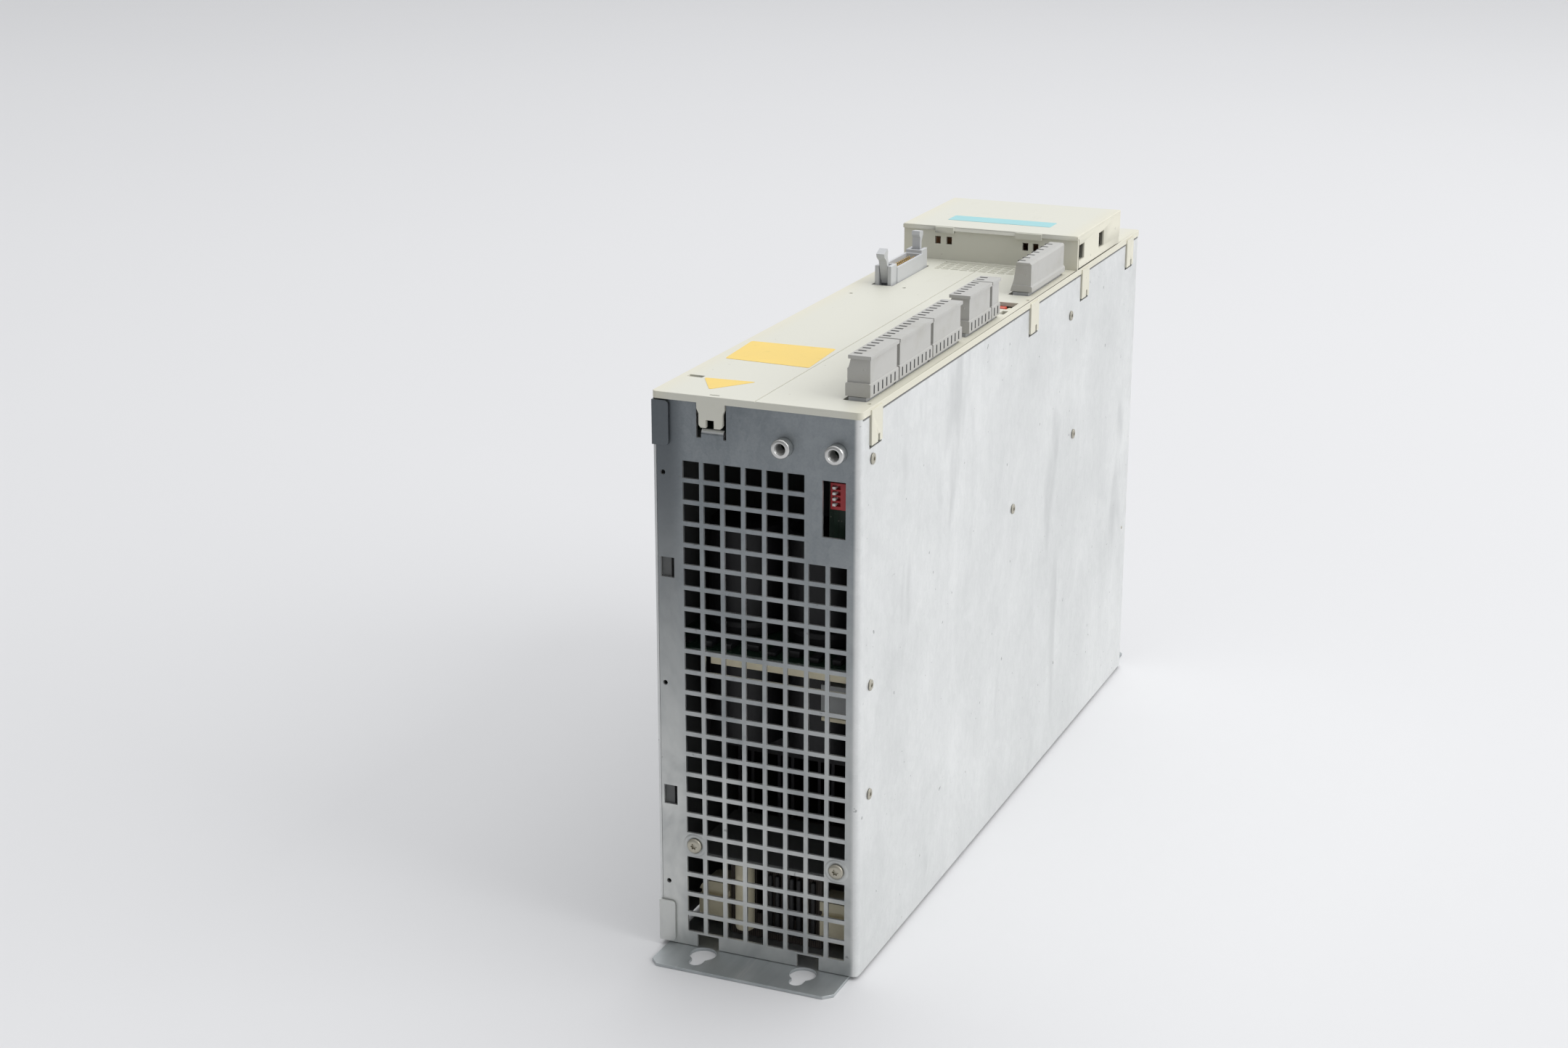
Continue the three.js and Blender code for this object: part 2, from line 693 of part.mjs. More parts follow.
function frontCover() {
  const x = [left - 0.2, right + 0.2];
  const y = [near - coverOverhang, far + coverOverhang];
  const floor = sheetTop + gap;
  const slab = prism(roundedRectangle(x, y, coverCorner), 'z', floor, coverTop, 5);
  const rim = 2.2;
  const underside = [floor - 1, coverTop - coverSkin];
  const hollow = box([x[0] + rim, x[1] - rim], [y[0] + rim, y[1] - rim], underside);
  const seam = box([-0.2, 0.3], [y[0] - 1, lidFront - 1], [coverTop - seamDepth, coverTop + 1]);
  const skin = cut(slab, hollow, seam, ...coverOpenings(), ...coverRibs());
  const pieces = [skin];
  for (const centre of clipCentres) pieces.push(coverClip(centre, -1), coverClip(centre, 1));
  for (const outward of [-1, 1]) pieces.push(coverCatch(outward * bodyLength / 2, outward));
  pieces.push(lidFrontWall());
  for (const side of [-1, 1]) pieces.push(lidEar(side));
  return join(...pieces);
}

// The wall under the lid's front lip, with the holes where a screwdriver releases its two catches.
function lidFrontWall() {
  const y = [lidFront + 0.8, lidFront + 0.8 + lidWall];
  const wall = box([left + 0.2, right - 0.2], y, [coverTop - 0.5, lidTop - lidSkin - gap]);
  const cuts = [];
  for (const x of [left + 19.6, left + 26, right - 29.3, right - 23.6]) {
    cuts.push(box([x - 1.6, x + 1.6], [y[0] - 1, y[1] + 1], [coverTop + 8.4, coverTop + 12.6]));
  }
  return cut(wall, ...cuts);
}

// An upright ear with a bore for one of the lid's hinge pins.
function lidEar(side) {
  const x = [side * earX, side * (earX - earThickness)].sort((a, b) => a - b);
  const half = lidPinRadius + 2;
  const upright = box(x, [lidAxisY - half, lidAxisY + half], [coverTop - 1, lidAxisZ]);
  const head = rod(half, 'x', x, [lidAxisY, lidAxisZ]);
  const bore = rod(lidPinRadius + gap, 'x', [x[0] - 1, x[1] + 1], [lidAxisY, lidAxisZ]);
  return cut(join(upright, head), bore);
}

// ---------------------------------------------------------------- hinged lid over the direct current bars

function dcLinkLid() {
  const outerX = [left, right];
  const z = [coverTop + 0.8, lidTop];
  const outer = prism(roundedRectangle(outerX, [lidFront - 0.4, lidBack], 1.2), 'z', z[0], z[1], 4);
  const ceiling = lidTop - lidSkin;
  const backWall = [lidBack - lidSkin - 1, lidBack + 1];
  const across = [left - 1, right + 1];
  const cuts = [
    box([left + lidSkin, right - lidSkin], [lidFront - 2, lidBack - lidSkin], [z[0] - 1, ceiling]),
    box(across, backWall, [z[0] - 1, coverTop + 4]),
    box(across, [lidFront - 2, lidFront + 0.8 + lidWall + gap], [z[0] - 1, ceiling]),
  ];
  for (const side of [-1, 1]) {
    const x = [side * (earX + 0.7), side * (earX - earThickness - 0.7)].sort((a, b) => a - b);
    cuts.push(box(x, backWall, [coverTop, ceiling]));
  }
  for (const start of [lidFront + 3, lidFront + 40]) {
    cuts.push(box(across, [start, start + 9.4], [coverTop + 5, coverTop + 13.2]));
  }
  const shell = cut(outer, ...cuts);
  const lip = ceiling - lidOverlap;
  const pieces = [shell, box([left, right], [lidFront - 0.4, lidFront + 0.5], [lip, lidTop - 0.5])];
  for (const x of [[left + 18.8, left + 29.2], [right - 34.4, right - 19.8]]) {
    pieces.push(box(x, [lidFront - 1.5, lidFront + 0.5], [lip - 1.2, lidTop - 0.4]));
  }
  for (const side of [-1, 1]) {
    const from = side * (right - lidSkin + 0.5);
    const to = side * (earX - earThickness - 0.6);
    const reach = [from, to].sort((a, b) => a - b);
    pieces.push(rod(lidPinRadius, 'x', reach, [lidAxisY, lidAxisZ]));
  }
  return join(...pieces);
}

const busbar = { width: 14, thickness: 3, z: coverTop + 6.4, length: bodyWidth - 22 };
const busbarCentres = [lidFront + 26, lidFront + 50];
const busbarScrewX = bodyWidth / 2 - 22;
const busbarScrewShank = 2;

function busbarBlock() {
  const y = [busbarCentres[0] - 10, busbarCentres[1] + 10];
  const top = busbar.z - busbar.thickness / 2 - gap;
  const half = busbar.length / 2;
  const block = box([-half + 4, half - 4], y, [boardTop + gap, top]);
  const cuts = [box([-half, half], [y[0] + 18.5, y[1] - 18.5], [top - 3, top + 1])];
  for (const centre of busbarCentres) {
    for (const side of [-1, 1]) {
      cuts.push(rod(busbarScrewShank + gap, 'z', [top - 9, top + 1], [side * busbarScrewX, centre], 16));
    }
  }
  return cut(block, ...cuts);
}

function busbarStrip(centre) {
  const half = busbar.length / 2;
  const y = [centre - busbar.width / 2, centre + busbar.width / 2];
  const z = [busbar.z - busbar.thickness / 2, busbar.z + busbar.thickness / 2];
  const strip = prism(roundedRectangle([-half, half], y, 2), 'z', z[0], z[1], 4);
  const holes = [-1, 1].map((side) => (
    rod(busbarScrewShank + gap, 'z', [z[0] - 1, z[1] + 1], [side * busbarScrewX, centre], 16)));
  return cut(strip, ...holes);
}

function dcLink() {
  const holder = group(part('busbar_block', 'blackPlastic', busbarBlock()));
  ['plus', 'minus'].forEach((pole, index) => {
    holder.add(part(`busbar_${pole}`, 'copper', busbarStrip(busbarCentres[index])));
    const screw = part(`busbar_screw_${pole}`, 'zinc', panScrew(3.8, 2.4, busbarScrewShank, 8, 1.4));
    screw.position.set(busbarScrewX, busbarCentres[index], busbar.z + busbar.thickness / 2 + gap);
    holder.add(screw);
  });
  return holder;
}

// ---------------------------------------------------------------- coding switch behind its window

const switchDepth = [near + 5.5, near + 11.5];
const switchX = [switchWindow.x[0] + 1.5, switchWindow.x[0] + 10.5];
const switchZ = [switchWindow.z[0] + 11.3, switchWindow.z[0] + 11.3 + leverCount * leverPitch + 1.9];
const leverWidth = 1.5;
const leverHeight = 1.1;

function leverHeightAt(index) {
  return switchZ[0] + 1.1 + (index + 0.5) * leverPitch;
}

function switchBody() {
  const cuts = [];
  for (let index = 0; index < leverCount; index += 1) {
    const z = leverHeightAt(index);
    cuts.push(box(
      [switchX[0] + 1, switchX[0] + 1 + leverWidth + leverTravel + 2 * gap],
      [switchDepth[0] - 1, switchDepth[0] + 2.4],
      [z - leverHeight / 2 - gap, z + leverHeight / 2 + gap],
    ));
  }
  return cut(box(switchX, switchDepth, switchZ), ...cuts);
}

function codingSwitch() {
  const holder = group(part('coding_switch', 'redPlastic', switchBody()));
  const size = [leverWidth, 3.3, leverHeight];
  for (let index = 0; index < leverCount; index += 1) {
    const lever = part(`coding_lever_${index + 1}`, 'whitePlastic', new THREE.BoxGeometry(...size));
    const x = switchX[0] + 1 + gap + leverWidth / 2;
    lever.position.set(x, switchDepth[0] + 2.4 - gap - size[1] / 2, leverHeightAt(index));
    holder.add(lever);
  }
  const board = box(
    [switchX[0] - 3, right - sheet - 2.8],
    [switchDepth[1] + gap, switchDepth[1] + gap + boardThickness],
    [switchWindow.z[0] - 8, boardTop - boardThickness - gap],
  );
  holder.add(part('coding_board', 'board', board));
  return holder;
}

// ---------------------------------------------------------------- electronics and cooling

const boardEdge = [left + sheet + gap, right - sheet - gap];
const powerBoardZ = 146.5;
const powerBoardTop = powerBoardZ + boardThickness;
const heatsinkTop = 78;
const finPitch = 7;
const finThickness = 1.6;

function heatsink() {
  const [x0, x1] = [left + 5, right - 5];
  const base = 9;
  const floor = shellFloor;
  const points = [[x0, heatsinkTop], [x0, floor]];
  const count = Math.floor((x1 - x0 - finThickness) / finPitch);
  for (let fin = 0; fin < count; fin += 1) {
    const x = x0 + finThickness + fin * finPitch;
    const next = fin === count - 1 ? x1 - finThickness : x + finPitch - finThickness;
    points.push([x, floor], [x, heatsinkTop - base], [next, heatsinkTop - base], [next, floor]);
  }
  points.push([x1, floor], [x1, heatsinkTop]);
  return prism(outline(points), 'y', near + 78, far - 44);
}

function circuitBoards() {
  const power = box(boardEdge, [near + 5, far - 44], [powerBoardZ, powerBoardTop]);
  const control = box(boardEdge, [near + 11, lidBack + 10], [boardTop - boardThickness, boardTop]);
  return group(part('power_board', 'board', power), part('control_board', 'board', control));
}

const capacitorRadius = 17.5;
const capacitorHeight = 52;

// A can with a rolled groove near its foot, standing on its foot.
function capacitorCan() {
  const r = capacitorRadius;
  return turned([
    [0, 0], [r, 0], [r, 5], [r - 1.2, 6.5], [r, 8], [r, capacitorHeight - 1.5],
    [r - 1.5, capacitorHeight], [0, capacitorHeight],
  ], 24);
}

// Two cans stand on the power board and two hang under it.
function capacitors() {
  const holder = group();
  const spacing = 2 * capacitorRadius + 5;
  for (let index = 0; index < 4; index += 1) {
    const can = part(`capacitor_${index + 1}`, 'blackPlastic', capacitorCan());
    const x = (index % 2 === 0 ? -1 : 1) * spacing / 2 - 3;
    const above = index < 2;
    can.position.set(x, near + 24.5 + capacitorRadius, above ? powerBoardTop + gap : powerBoardZ - gap);
    if (!above) can.rotation.x = Math.PI;
    holder.add(can);
  }
  return holder;
}

function rectifier() {
  const shape = roundedRectangle([-31, 31], [near + 130, near + 238], 3);
  const body = prism(shape, 'z', heatsinkTop + gap, heatsinkTop + 17, 4);
  const through = [heatsinkTop, heatsinkTop + 18];
  return cut(body, ...[near + 136, near + 232].map((y) => rod(3.2, 'z', through, [0, y], 16)));
}

const chokeY = near + 36;
const chokeX = [left + 27.2, right - 25.2];
const bracketShelf = faceScrewZ - 7;
const cheekTop = bracketShelf - 18;

function chokeCore() {
  const body = box(chokeX, [chokeY - 16, chokeY + 24], [shellFloor, bracketShelf - gap]);
  const windows = [[-9, -6], [8, 11]].map((x) => (
    box(x, [chokeY - 17, chokeY + 25], [14, bracketShelf - 8])));
  return cut(body, ...windows);
}

// The choke's end cheeks, rounded at the outer upper corner.
function chokeCheek(side) {
  const inner = side < 0 ? chokeX[0] - gap : chokeX[1] + gap;
  const outer = side < 0 ? left + 12.4 : right - 6.8;
  const depth = [chokeY - 20, chokeY - 6];
  const shape = new THREE.Shape();
  const corner = 7 * side;
  shape.moveTo(inner, 8);
  shape.lineTo(outer, 8);
  shape.lineTo(outer, cheekTop - 7);
  shape.quadraticCurveTo(outer, cheekTop, outer - corner, cheekTop);
  shape.lineTo(inner, cheekTop);
  const body = prism(shape, 'y', depth[0], depth[1], 5);
  const across = [Math.min(inner, outer) - 1, Math.max(inner, outer) + 1];
  return cut(body, box(across, [depth[0] - 1, depth[0] + 3], [20.4, 23.4]));
}

// A bracket that rests on the choke and rises behind the near face, where two screws hold it.
function chokeBracket() {
  const width = [faceScrewX[0] - 5, faceScrewX[1] + 4];
  const front = [nearInner + gap, nearInner + gap + sheet];
  const pieces = [box(width, [front[0], chokeY + 20], [bracketShelf, bracketShelf + sheet])];
  pieces.push(box(width, front, [bracketShelf, faceScrewZ - 3.6]));
  const cuts = [];
  for (const x of faceScrewX) {
    pieces.push(box([x - 5, x + 4], front, [bracketShelf, faceScrewZ + 5.4]));
    cuts.push(rod(faceScrewShank + gap, 'y', [near, nearInner + 4], [x, faceScrewZ], 16));
  }
  return cut(join(...pieces), ...cuts);
}

function smallInternals() {
  const suppressor = rod(4.5, 'z', [10, bracketShelf - gap], [-11, near + 11], 20);
  const underBoard = powerBoardZ - gap;
  const edge = right - 3.8;
  const strip = box([left + 24, edge], [near + 6, near + 13], [powerBoardZ - 5.2, underBoard]);
  const baffle = join(
    box([right - 24, edge], [near + 14, near + 19], [powerBoardZ - 24.5, powerBoardZ - 10.5]),
    box([right - 9, edge - 1], [near + 14.5, near + 17.5], [powerBoardZ - 11, underBoard]),
  );
  return group(
    part('suppressor_capacitor', 'creamPlastic', suppressor),
    part('board_guide_strip', 'creamPlastic', strip),
    part('air_baffle', 'greyPlastic', baffle),
  );
}

// ---------------------------------------------------------------- fan at the far end

const fanY = [farInner - gap - fanDepth, farInner - gap];
const hubRadius = 15;
const tipRadius = fanBore - 0.6;
const bladeCount = 7;

function fanFrame() {
  const [x, z] = fanCentre;
  const half = fanSize / 2;
  const shape = roundedRectangle([x - half, x + half], [z - half, z + half], 5);
  const cuts = [rod(fanBore, 'y', [fanY[0] - 1, fanY[1] + 1], fanCentre, 32)];
  const inset = half - 4.3;
  for (const [u, v] of [[-inset, -inset], [inset, -inset], [inset, inset], [-inset, inset]]) {
    cuts.push(rod(2.15, 'y', [fanY[0] - 1, fanY[1] + 1], [x + u, z + v], 12));
  }
  const frame = cut(prism(shape, 'y', fanY[0], fanY[1], 3), ...cuts);
  const struts = [];
  for (let index = 0; index < 4; index += 1) {
    const strut = box([hubRadius - 3, fanBore + 1], [fanY[0], fanY[0] + 3], [-2, 2]);
    struts.push(strut.rotateY(Math.PI / 4 + index * Math.PI / 2).translate(x, 0, z));
  }
  return join(frame, rod(hubRadius, 'y', [fanY[0], fanY[0] + 3.5], fanCentre, 20), ...struts);
}

// The rotor is centred on its own axis, which lies along y.
function fanRotor() {
  const depth = fanDepth - 8;
  const r = hubRadius;
  const hub = turned([
    [0, 0], [r - 0.6, 0], [r, 0.6], [r, depth - 1.5], [r - 1.5, depth], [0, depth],
  ], 20);
  const pitch = THREE.MathUtils.degToRad(48);
  const thickness = 1.6;
  const half = (depth / 2 - 1.37) / Math.sin(pitch);
  const sweep = half * Math.cos(pitch) + thickness / 2 * Math.sin(pitch);
  const tip = Math.sqrt(tipRadius ** 2 - sweep ** 2);
  const blades = [];
  for (let index = 0; index < bladeCount; index += 1) {
    const blade = box([r - 1, tip], [-thickness / 2, thickness / 2], [-half, half]);
    blade.rotateX(pitch);
    blades.push(blade.translate(0, 0, depth / 2).rotateZ(index * 2 * Math.PI / bladeCount));
  }
  return join(hub, ...blades).rotateX(-Math.PI / 2);
}

// Rings and a cross of arms, stamped from sheet.
function fanGuard() {
  const [x, z] = fanCentre;
  const arm = 2.2;
  const ring = 2.6;
  const half = fanSize / 2;
  const shape = roundedRectangle([x - half, x + half], [z - half, z + half], 5);
  const inner = 9;
  const rings = 3;
  const step = (fanBore - inner) / rings;
  for (let index = 0; index < rings; index += 1) {
    const r0 = inner + index * step;
    const r1 = r0 + step - ring;
    for (let quarter = 0; quarter < 4; quarter += 1) {
      const start = quarter * Math.PI / 2;
      const hole = new THREE.Path();
      hole.absarc(x, z, r1, start + arm / r1, start + Math.PI / 2 - arm / r1, false);
      hole.absarc(x, z, r0, start + Math.PI / 2 - arm / r0, start + arm / r0, true);
      shape.holes.push(hole);
    }
  }
  return prism(shape, 'y', far + gap, far + gap + 1, 4);
}

function fan() {
  const rotor = part('fan_rotor', 'blackPlastic', fanRotor());
  rotor.position.set(fanCentre[0], fanY[0] + 5, fanCentre[1]);
  const frame = part('fan_frame', 'blackPlastic', fanFrame());
  return group(frame, rotor, part('fan_guard', 'nickel', fanGuard()));
}

// ---------------------------------------------------------------- the module

const servoDrive = group(
  part('back_plate', 'plateSteel', backPlate()),
  part('main_shell', 'galvanised', mainShell()),
  part('left_panel', 'galvanised', leftPanel()),
  part('front_cover', 'coverPlastic', frontCover()),
  part('dc_link_lid', 'coverPlastic', dcLinkLid()),
  screwsAndBushes(),
  terminalRow(),
  part('ribbon_header', 'headerPlastic', ribbonHeader()),
  part('ejector_latch_near', 'headerPlastic', ejectorLatch(ribbon.y[0], 1, latchOpenNear)),
  part('ejector_latch_far', 'headerPlastic', ejectorLatch(ribbon.y[1], -1, 0)),
  dcLink(),
  codingSwitch(),
  part('heatsink', 'aluminium', heatsink()),
  circuitBoards(),
  capacitors(),
  part('rectifier_module', 'blackPlastic', rectifier()),
  part('choke_core', 'winding', chokeCore()),
  part('choke_cheek_left', 'creamPlastic', chokeCheek(-1)),
  part('choke_cheek_right', 'creamPlastic', chokeCheek(1)),
  part('choke_bracket', 'galvanised', chokeBracket()),
  smallInternals(),
  fan(),
);

export default servoDrive;
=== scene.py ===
import json
import math
import random

import bmesh
import bpy
from mathutils import Matrix, Vector


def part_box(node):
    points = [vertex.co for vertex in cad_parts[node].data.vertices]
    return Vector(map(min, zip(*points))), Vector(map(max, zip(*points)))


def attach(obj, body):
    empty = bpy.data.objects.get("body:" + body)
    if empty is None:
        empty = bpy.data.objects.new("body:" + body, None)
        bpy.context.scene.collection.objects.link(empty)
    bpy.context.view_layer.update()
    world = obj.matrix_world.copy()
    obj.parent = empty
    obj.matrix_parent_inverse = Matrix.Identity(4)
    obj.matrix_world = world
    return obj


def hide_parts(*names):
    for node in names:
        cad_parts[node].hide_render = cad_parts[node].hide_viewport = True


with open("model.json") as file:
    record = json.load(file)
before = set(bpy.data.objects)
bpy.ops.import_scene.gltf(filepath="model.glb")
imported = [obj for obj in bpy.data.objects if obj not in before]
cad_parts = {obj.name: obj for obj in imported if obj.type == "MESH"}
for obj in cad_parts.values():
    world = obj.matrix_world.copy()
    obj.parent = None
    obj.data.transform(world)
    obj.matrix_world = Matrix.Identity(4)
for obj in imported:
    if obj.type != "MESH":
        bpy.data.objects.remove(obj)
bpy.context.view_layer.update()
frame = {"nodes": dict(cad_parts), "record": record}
nodes = frame["nodes"]
random.seed(41)

MM = 0.001
HOUSING = "housing"

# The drive's own planes in millimetres: the near face, the outer side of the sheet and its top edge.
NEAR_FACE = -218
SHEET_SIDE = 49.2
SHEET_TOP = 264
HEADER_PITCH = 2.54
POLE_PITCH = 5.08
POWER_PITCH = 7.62


def spot(node):
    """A CAD node's lowest and highest corner in millimetres."""
    low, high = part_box(node)
    return Vector(low) / MM, Vector(high) / MM


# ------------------------------------------------------------------ camera, light and floor

CAMERA_PLACE = Vector((0.4207, -1.1760, 0.5456))
CAMERA_TURN = math.radians(23.04)
CAMERA_DIP = math.radians(17.68)

sight = Vector((
    -math.sin(CAMERA_TURN) * math.cos(CAMERA_DIP),
    math.cos(CAMERA_TURN) * math.cos(CAMERA_DIP),
    -math.sin(CAMERA_DIP),
))
lens = bpy.data.cameras.new("camera")
lens.sensor_width = 36
lens.lens = 57.82
camera = bpy.data.objects.new("camera", lens)
camera.location = CAMERA_PLACE
camera.rotation_euler = sight.to_track_quat("-Z", "Y").to_euler()
bpy.context.scene.collection.objects.link(camera)
bpy.context.scene.camera = camera
bpy.context.scene.view_settings.view_transform = "Standard"


def softbox(name, place, aim, width, height, power):
    lamp = bpy.data.lights.new(name, "AREA")
    lamp.shape = "RECTANGLE"
    lamp.size = width
    lamp.size_y = height
    lamp.energy = power
    holder = bpy.data.objects.new(name, lamp)
    holder.location = place
    holder.rotation_euler = (Vector(aim) - Vector(place)).to_track_quat("-Z", "Y").to_euler()
    bpy.context.scene.collection.objects.link(holder)


softbox("key_light", (3.4, 0.2, 2.6), (0.1, 0.1, 0.1), 3.0, 2.4, 62)
softbox("top_light", (0.2, 1.6, 3.6), (0, 0.9, 0), 4.5, 4.5, 62)


# ------------------------------------------------------------------ materials written as expressions

class Wire:
    """An output socket that can be used in sums."""

    def __init__(self, shade, socket):
        self.shade = shade
        self.socket = socket

    def math(self, operation, *values):
        return self.shade.node("Math", {"operation": operation}, *values)

    def __add__(self, other):
        return self.math("ADD", self, other)

    def __radd__(self, other):
        return self.math("ADD", other, self)

    def __rsub__(self, other):
        return self.math("SUBTRACT", other, self)

    def __mul__(self, other):
        return self.math("MULTIPLY", self, other)

    def __rmul__(self, other):
        return self.math("MULTIPLY", other, self)

    def above(self, level, soft=0.02):
        """0 below the level and 1 above it, with a soft step."""
        return self.shade.node(
            "MapRange", {"interpolation_type": "SMOOTHSTEP"},
            Value=self, From_Min=level - soft, From_Max=level + soft)

    def below(self, level, soft=0.02):
        return 1 - self.above(level, soft)


class Shade:
    """One material and the nodes in it."""

    def __init__(self, name):
        self.material = bpy.data.materials.new(name)
        self.material.use_nodes = True
        self.tree = self.material.node_tree
        self.surface = self.tree.nodes["Principled BSDF"]

    def node(self, kind, settings=None, *values, out=0, **named):
        made = self.tree.nodes.new("ShaderNode" + kind)
        for key, value in (settings or {}).items():
            setattr(made, key, value)
        slots = [(made.inputs[number], value) for number, value in enumerate(values)]
        slots += [(made.inputs[key.replace("_", " ")], value) for key, value in named.items()]
        for slot, value in slots:
            self.feed(slot, value)
        return Wire(self, made.outputs[out])

    def feed(self, slot, value):
        if isinstance(value, Wire):
            self.tree.links.new(value.socket, slot)
        elif value is not None:
            slot.default_value = value

    def place(self, scale=(1, 1, 1), turn=(0, 0, 0)):
        """Object coordinates in metres, stretched along each axis."""
        coordinates = self.node("TexCoord", out="Object")
        return self.node("Mapping", None, Vector=coordinates, Scale=scale, Rotation=turn)

    def axes(self):
        """The three object coordinates in millimetres."""
        split = self.tree.nodes.new("ShaderNodeSeparateXYZ")
        self.feed(split.inputs[0], self.place((1000, 1000, 1000)))
        return [Wire(self, output) for output in split.outputs]

    def noise(self, scale, detail=3, roughness=0.5, place=None, distortion=0):
        place = place or self.place()
        return self.node(
            "TexNoise", None, Vector=place, Scale=scale, Detail=detail,
            Roughness=roughness, Distortion=distortion)

    def cells(self, scale, place=None, out="Distance"):
        place = place or self.place()
        return self.node("TexVoronoi", None, Vector=place, Scale=scale, out=out)

    def band(self, axis, low, high, soft=0.05):
        """1 between two levels of an axis and 0 outside them."""
        return axis.above(low, soft) * axis.below(high, soft)

    def mix(self, factor, first, second):
        made = self.tree.nodes.new("ShaderNodeMix")
        made.data_type = "RGBA"
        for slot, value in ((0, factor), (6, first), (7, second)):
            if isinstance(value, tuple):
                value = (*value, 1)
            self.feed(made.inputs[slot], value)
        return Wire(self, made.outputs[2])

    def bump(self, height, depth, strength=1):
        """A relief of the given depth in metres."""
        return self.node("Bump", None, Height=height, Distance=depth, Strength=strength)

    def done(self, colour, roughness, metallic=0, normal=None, **constants):
        if isinstance(colour, tuple):
            colour = (*colour, 1)
        self.feed(self.surface.inputs["Base Color"], colour)
        self.feed(self.surface.inputs["Roughness"], roughness)
        self.feed(self.surface.inputs["Metallic"], metallic)
        self.feed(self.surface.inputs["Normal"], normal)
        for key, value in constants.items():
            self.feed(self.surface.inputs[key.replace("_", " ")], value)
        return self.material


def tinted(colour, factor):
    return tuple(min(1, part * factor) for part in colour)


def galvanised_sheet():
    """Zinc-coated sheet: faint crystals, soft clouds, a few dark smears and fine specks, with painted shade
    on the near face, its left strip and inside, a painted shadow line along the top edges and a painted
    highlight on the bend.
    """
    shade = Shade("galvanised_sheet")
    x, y, z = shade.axes()
    crystals = shade.node("SeparateColor", None, shade.cells(420, shade.place((1, 1, 0.6)), out="Color"))
    fine = shade.noise(900, 4, 0.6)
    clouds = shade.noise(7, 5, 0.62, shade.place((1, 1, 0.85), (0.5, 0, 0)), 0.8)
    patches = shade.noise(24, 4, 0.65, shade.place((1, 1, 0.8), (0.3, 0, 0)), 0.5)
    streaks = shade.noise(30, 4, 0.6, shade.place((1, 2.0, 0.12)), 0.4)
    specks = shade.noise(260, 2, 0.5).above(0.75, 0.02)
    smears = shade.noise(13, 3, 0.55, shade.place((1, 1.9, 0.5), (0.32, 0, 0)), 0.3).above(0.665, 0.07)
    tone = 0.44 * clouds + 0.26 * patches + 0.10 * streaks + 0.07 * crystals + 0.13 * fine
    light = shade.node("MapRange", None, Value=tone, From_Min=0.36, From_Max=0.62)
    bright = shade.mix(light, (0.675, 0.688, 0.680), (0.825, 0.834, 0.825))
    bright = shade.mix(smears * 0.34, bright, (0.44, 0.452, 0.45))
    lower = z.below(135, 120)
    # Painted shade: the near face gets a darker copy of the same zinc, standing in for the shade it sits
    # in.
    face_shade_wear_and_glint = shade.mix(light, (0.178, 0.200, 0.215), (0.320, 0.345, 0.360))
    left_strip = x.below(-37, 5)
    # Lighter towards the bottom: partly worn zinc, partly a painted glint on the grille bars; the left
    # strip's lower part is a painted highlight.
    wear_and_glint = lower * (0.34 + 0.66 * patches.above(0.44, 0.2)) + 0.35 * left_strip * lower
    # Painted shade: the left strip darker towards its top.
    face_shade_wear_and_glint = shade.mix(0.75 * left_strip * z.above(110, 120), face_shade_wear_and_glint, (0.105, 0.117, 0.127))
    face_shade_wear_and_glint = shade.mix(0.85 * wear_and_glint, face_shade_wear_and_glint, (0.68, 0.69, 0.67))
    # The face mask stops short of the bend, so the bend keeps the bright colour as a painted highlight.
    on_face = y.below(NEAR_FACE + 0.25, 0.15) * x.below(SHEET_SIDE - 2.9, 1.0)
    colour = shade.mix(on_face, bright, face_shade_wear_and_glint)
    # Painted shadow: a dark line along the top edge of each side sheet, under the cover's lip.
    outer = x.above(SHEET_SIDE - 0.3, 0.1) + x.below(0.3 - SHEET_SIDE, 0.1)
    shadow_line = z.above(SHEET_TOP - 0.7, 0.3) * outer
    colour = shade.mix(0.8 * shadow_line, colour, (0.05, 0.05, 0.048))
    colour = shade.mix(specks * 0.5, colour, (0.16, 0.165, 0.165))
    # Painted shade: the sheet's inner surfaces are mixed towards near-black and made less metallic.
    inner_face = -NEAR_FACE - 1.3
    inside_shade = shade.band(x, 1 - SHEET_SIDE, SHEET_SIDE - 1.1) * shade.band(y, -inner_face, inner_face)
    colour = shade.mix(0.88 * inside_shade, colour, (0.02, 0.022, 0.022))
    roughness = 0.38 + 0.14 * clouds + 0.08 * crystals
    relief = shade.bump(0.6 * fine + 0.4 * crystals, 0.00005, 0.3)
    return shade.done(colour, roughness, 0.86 - 0.5 * inside_shade, relief)


def plate_steel():
    """The darker mounting plate, with rolled streaks along its length."""
    shade = Shade("plate_steel")
    streaks = shade.noise(60, 4, 0.6, shade.place((1, 0.12, 1)))
    stains = shade.noise(18, 4, 0.6)
    scratches = shade.noise(420, 2, 0.5, shade.place((1, 0.06, 1), (0, 0, 0.35))).above(0.69, 0.02)
    tone = 0.6 * streaks + 0.4 * stains
    light = shade.node("MapRange", None, Value=tone, From_Min=0.35, From_Max=0.65)
    colour = shade.mix(light, (0.37, 0.40, 0.41), (0.56, 0.585, 0.59))
    colour = shade.mix(scratches * 0.5, colour, (0.55, 0.56, 0.56))
    relief = shade.bump(shade.noise(1100, 3, 0.6), 0.00005, 0.3)
    return shade.done(colour, 0.38 + 0.2 * stains, 0.85, relief)


GRIME_TINT = (0.62, 0.58, 0.46)
GRAIN_DEPTH = 0.00004


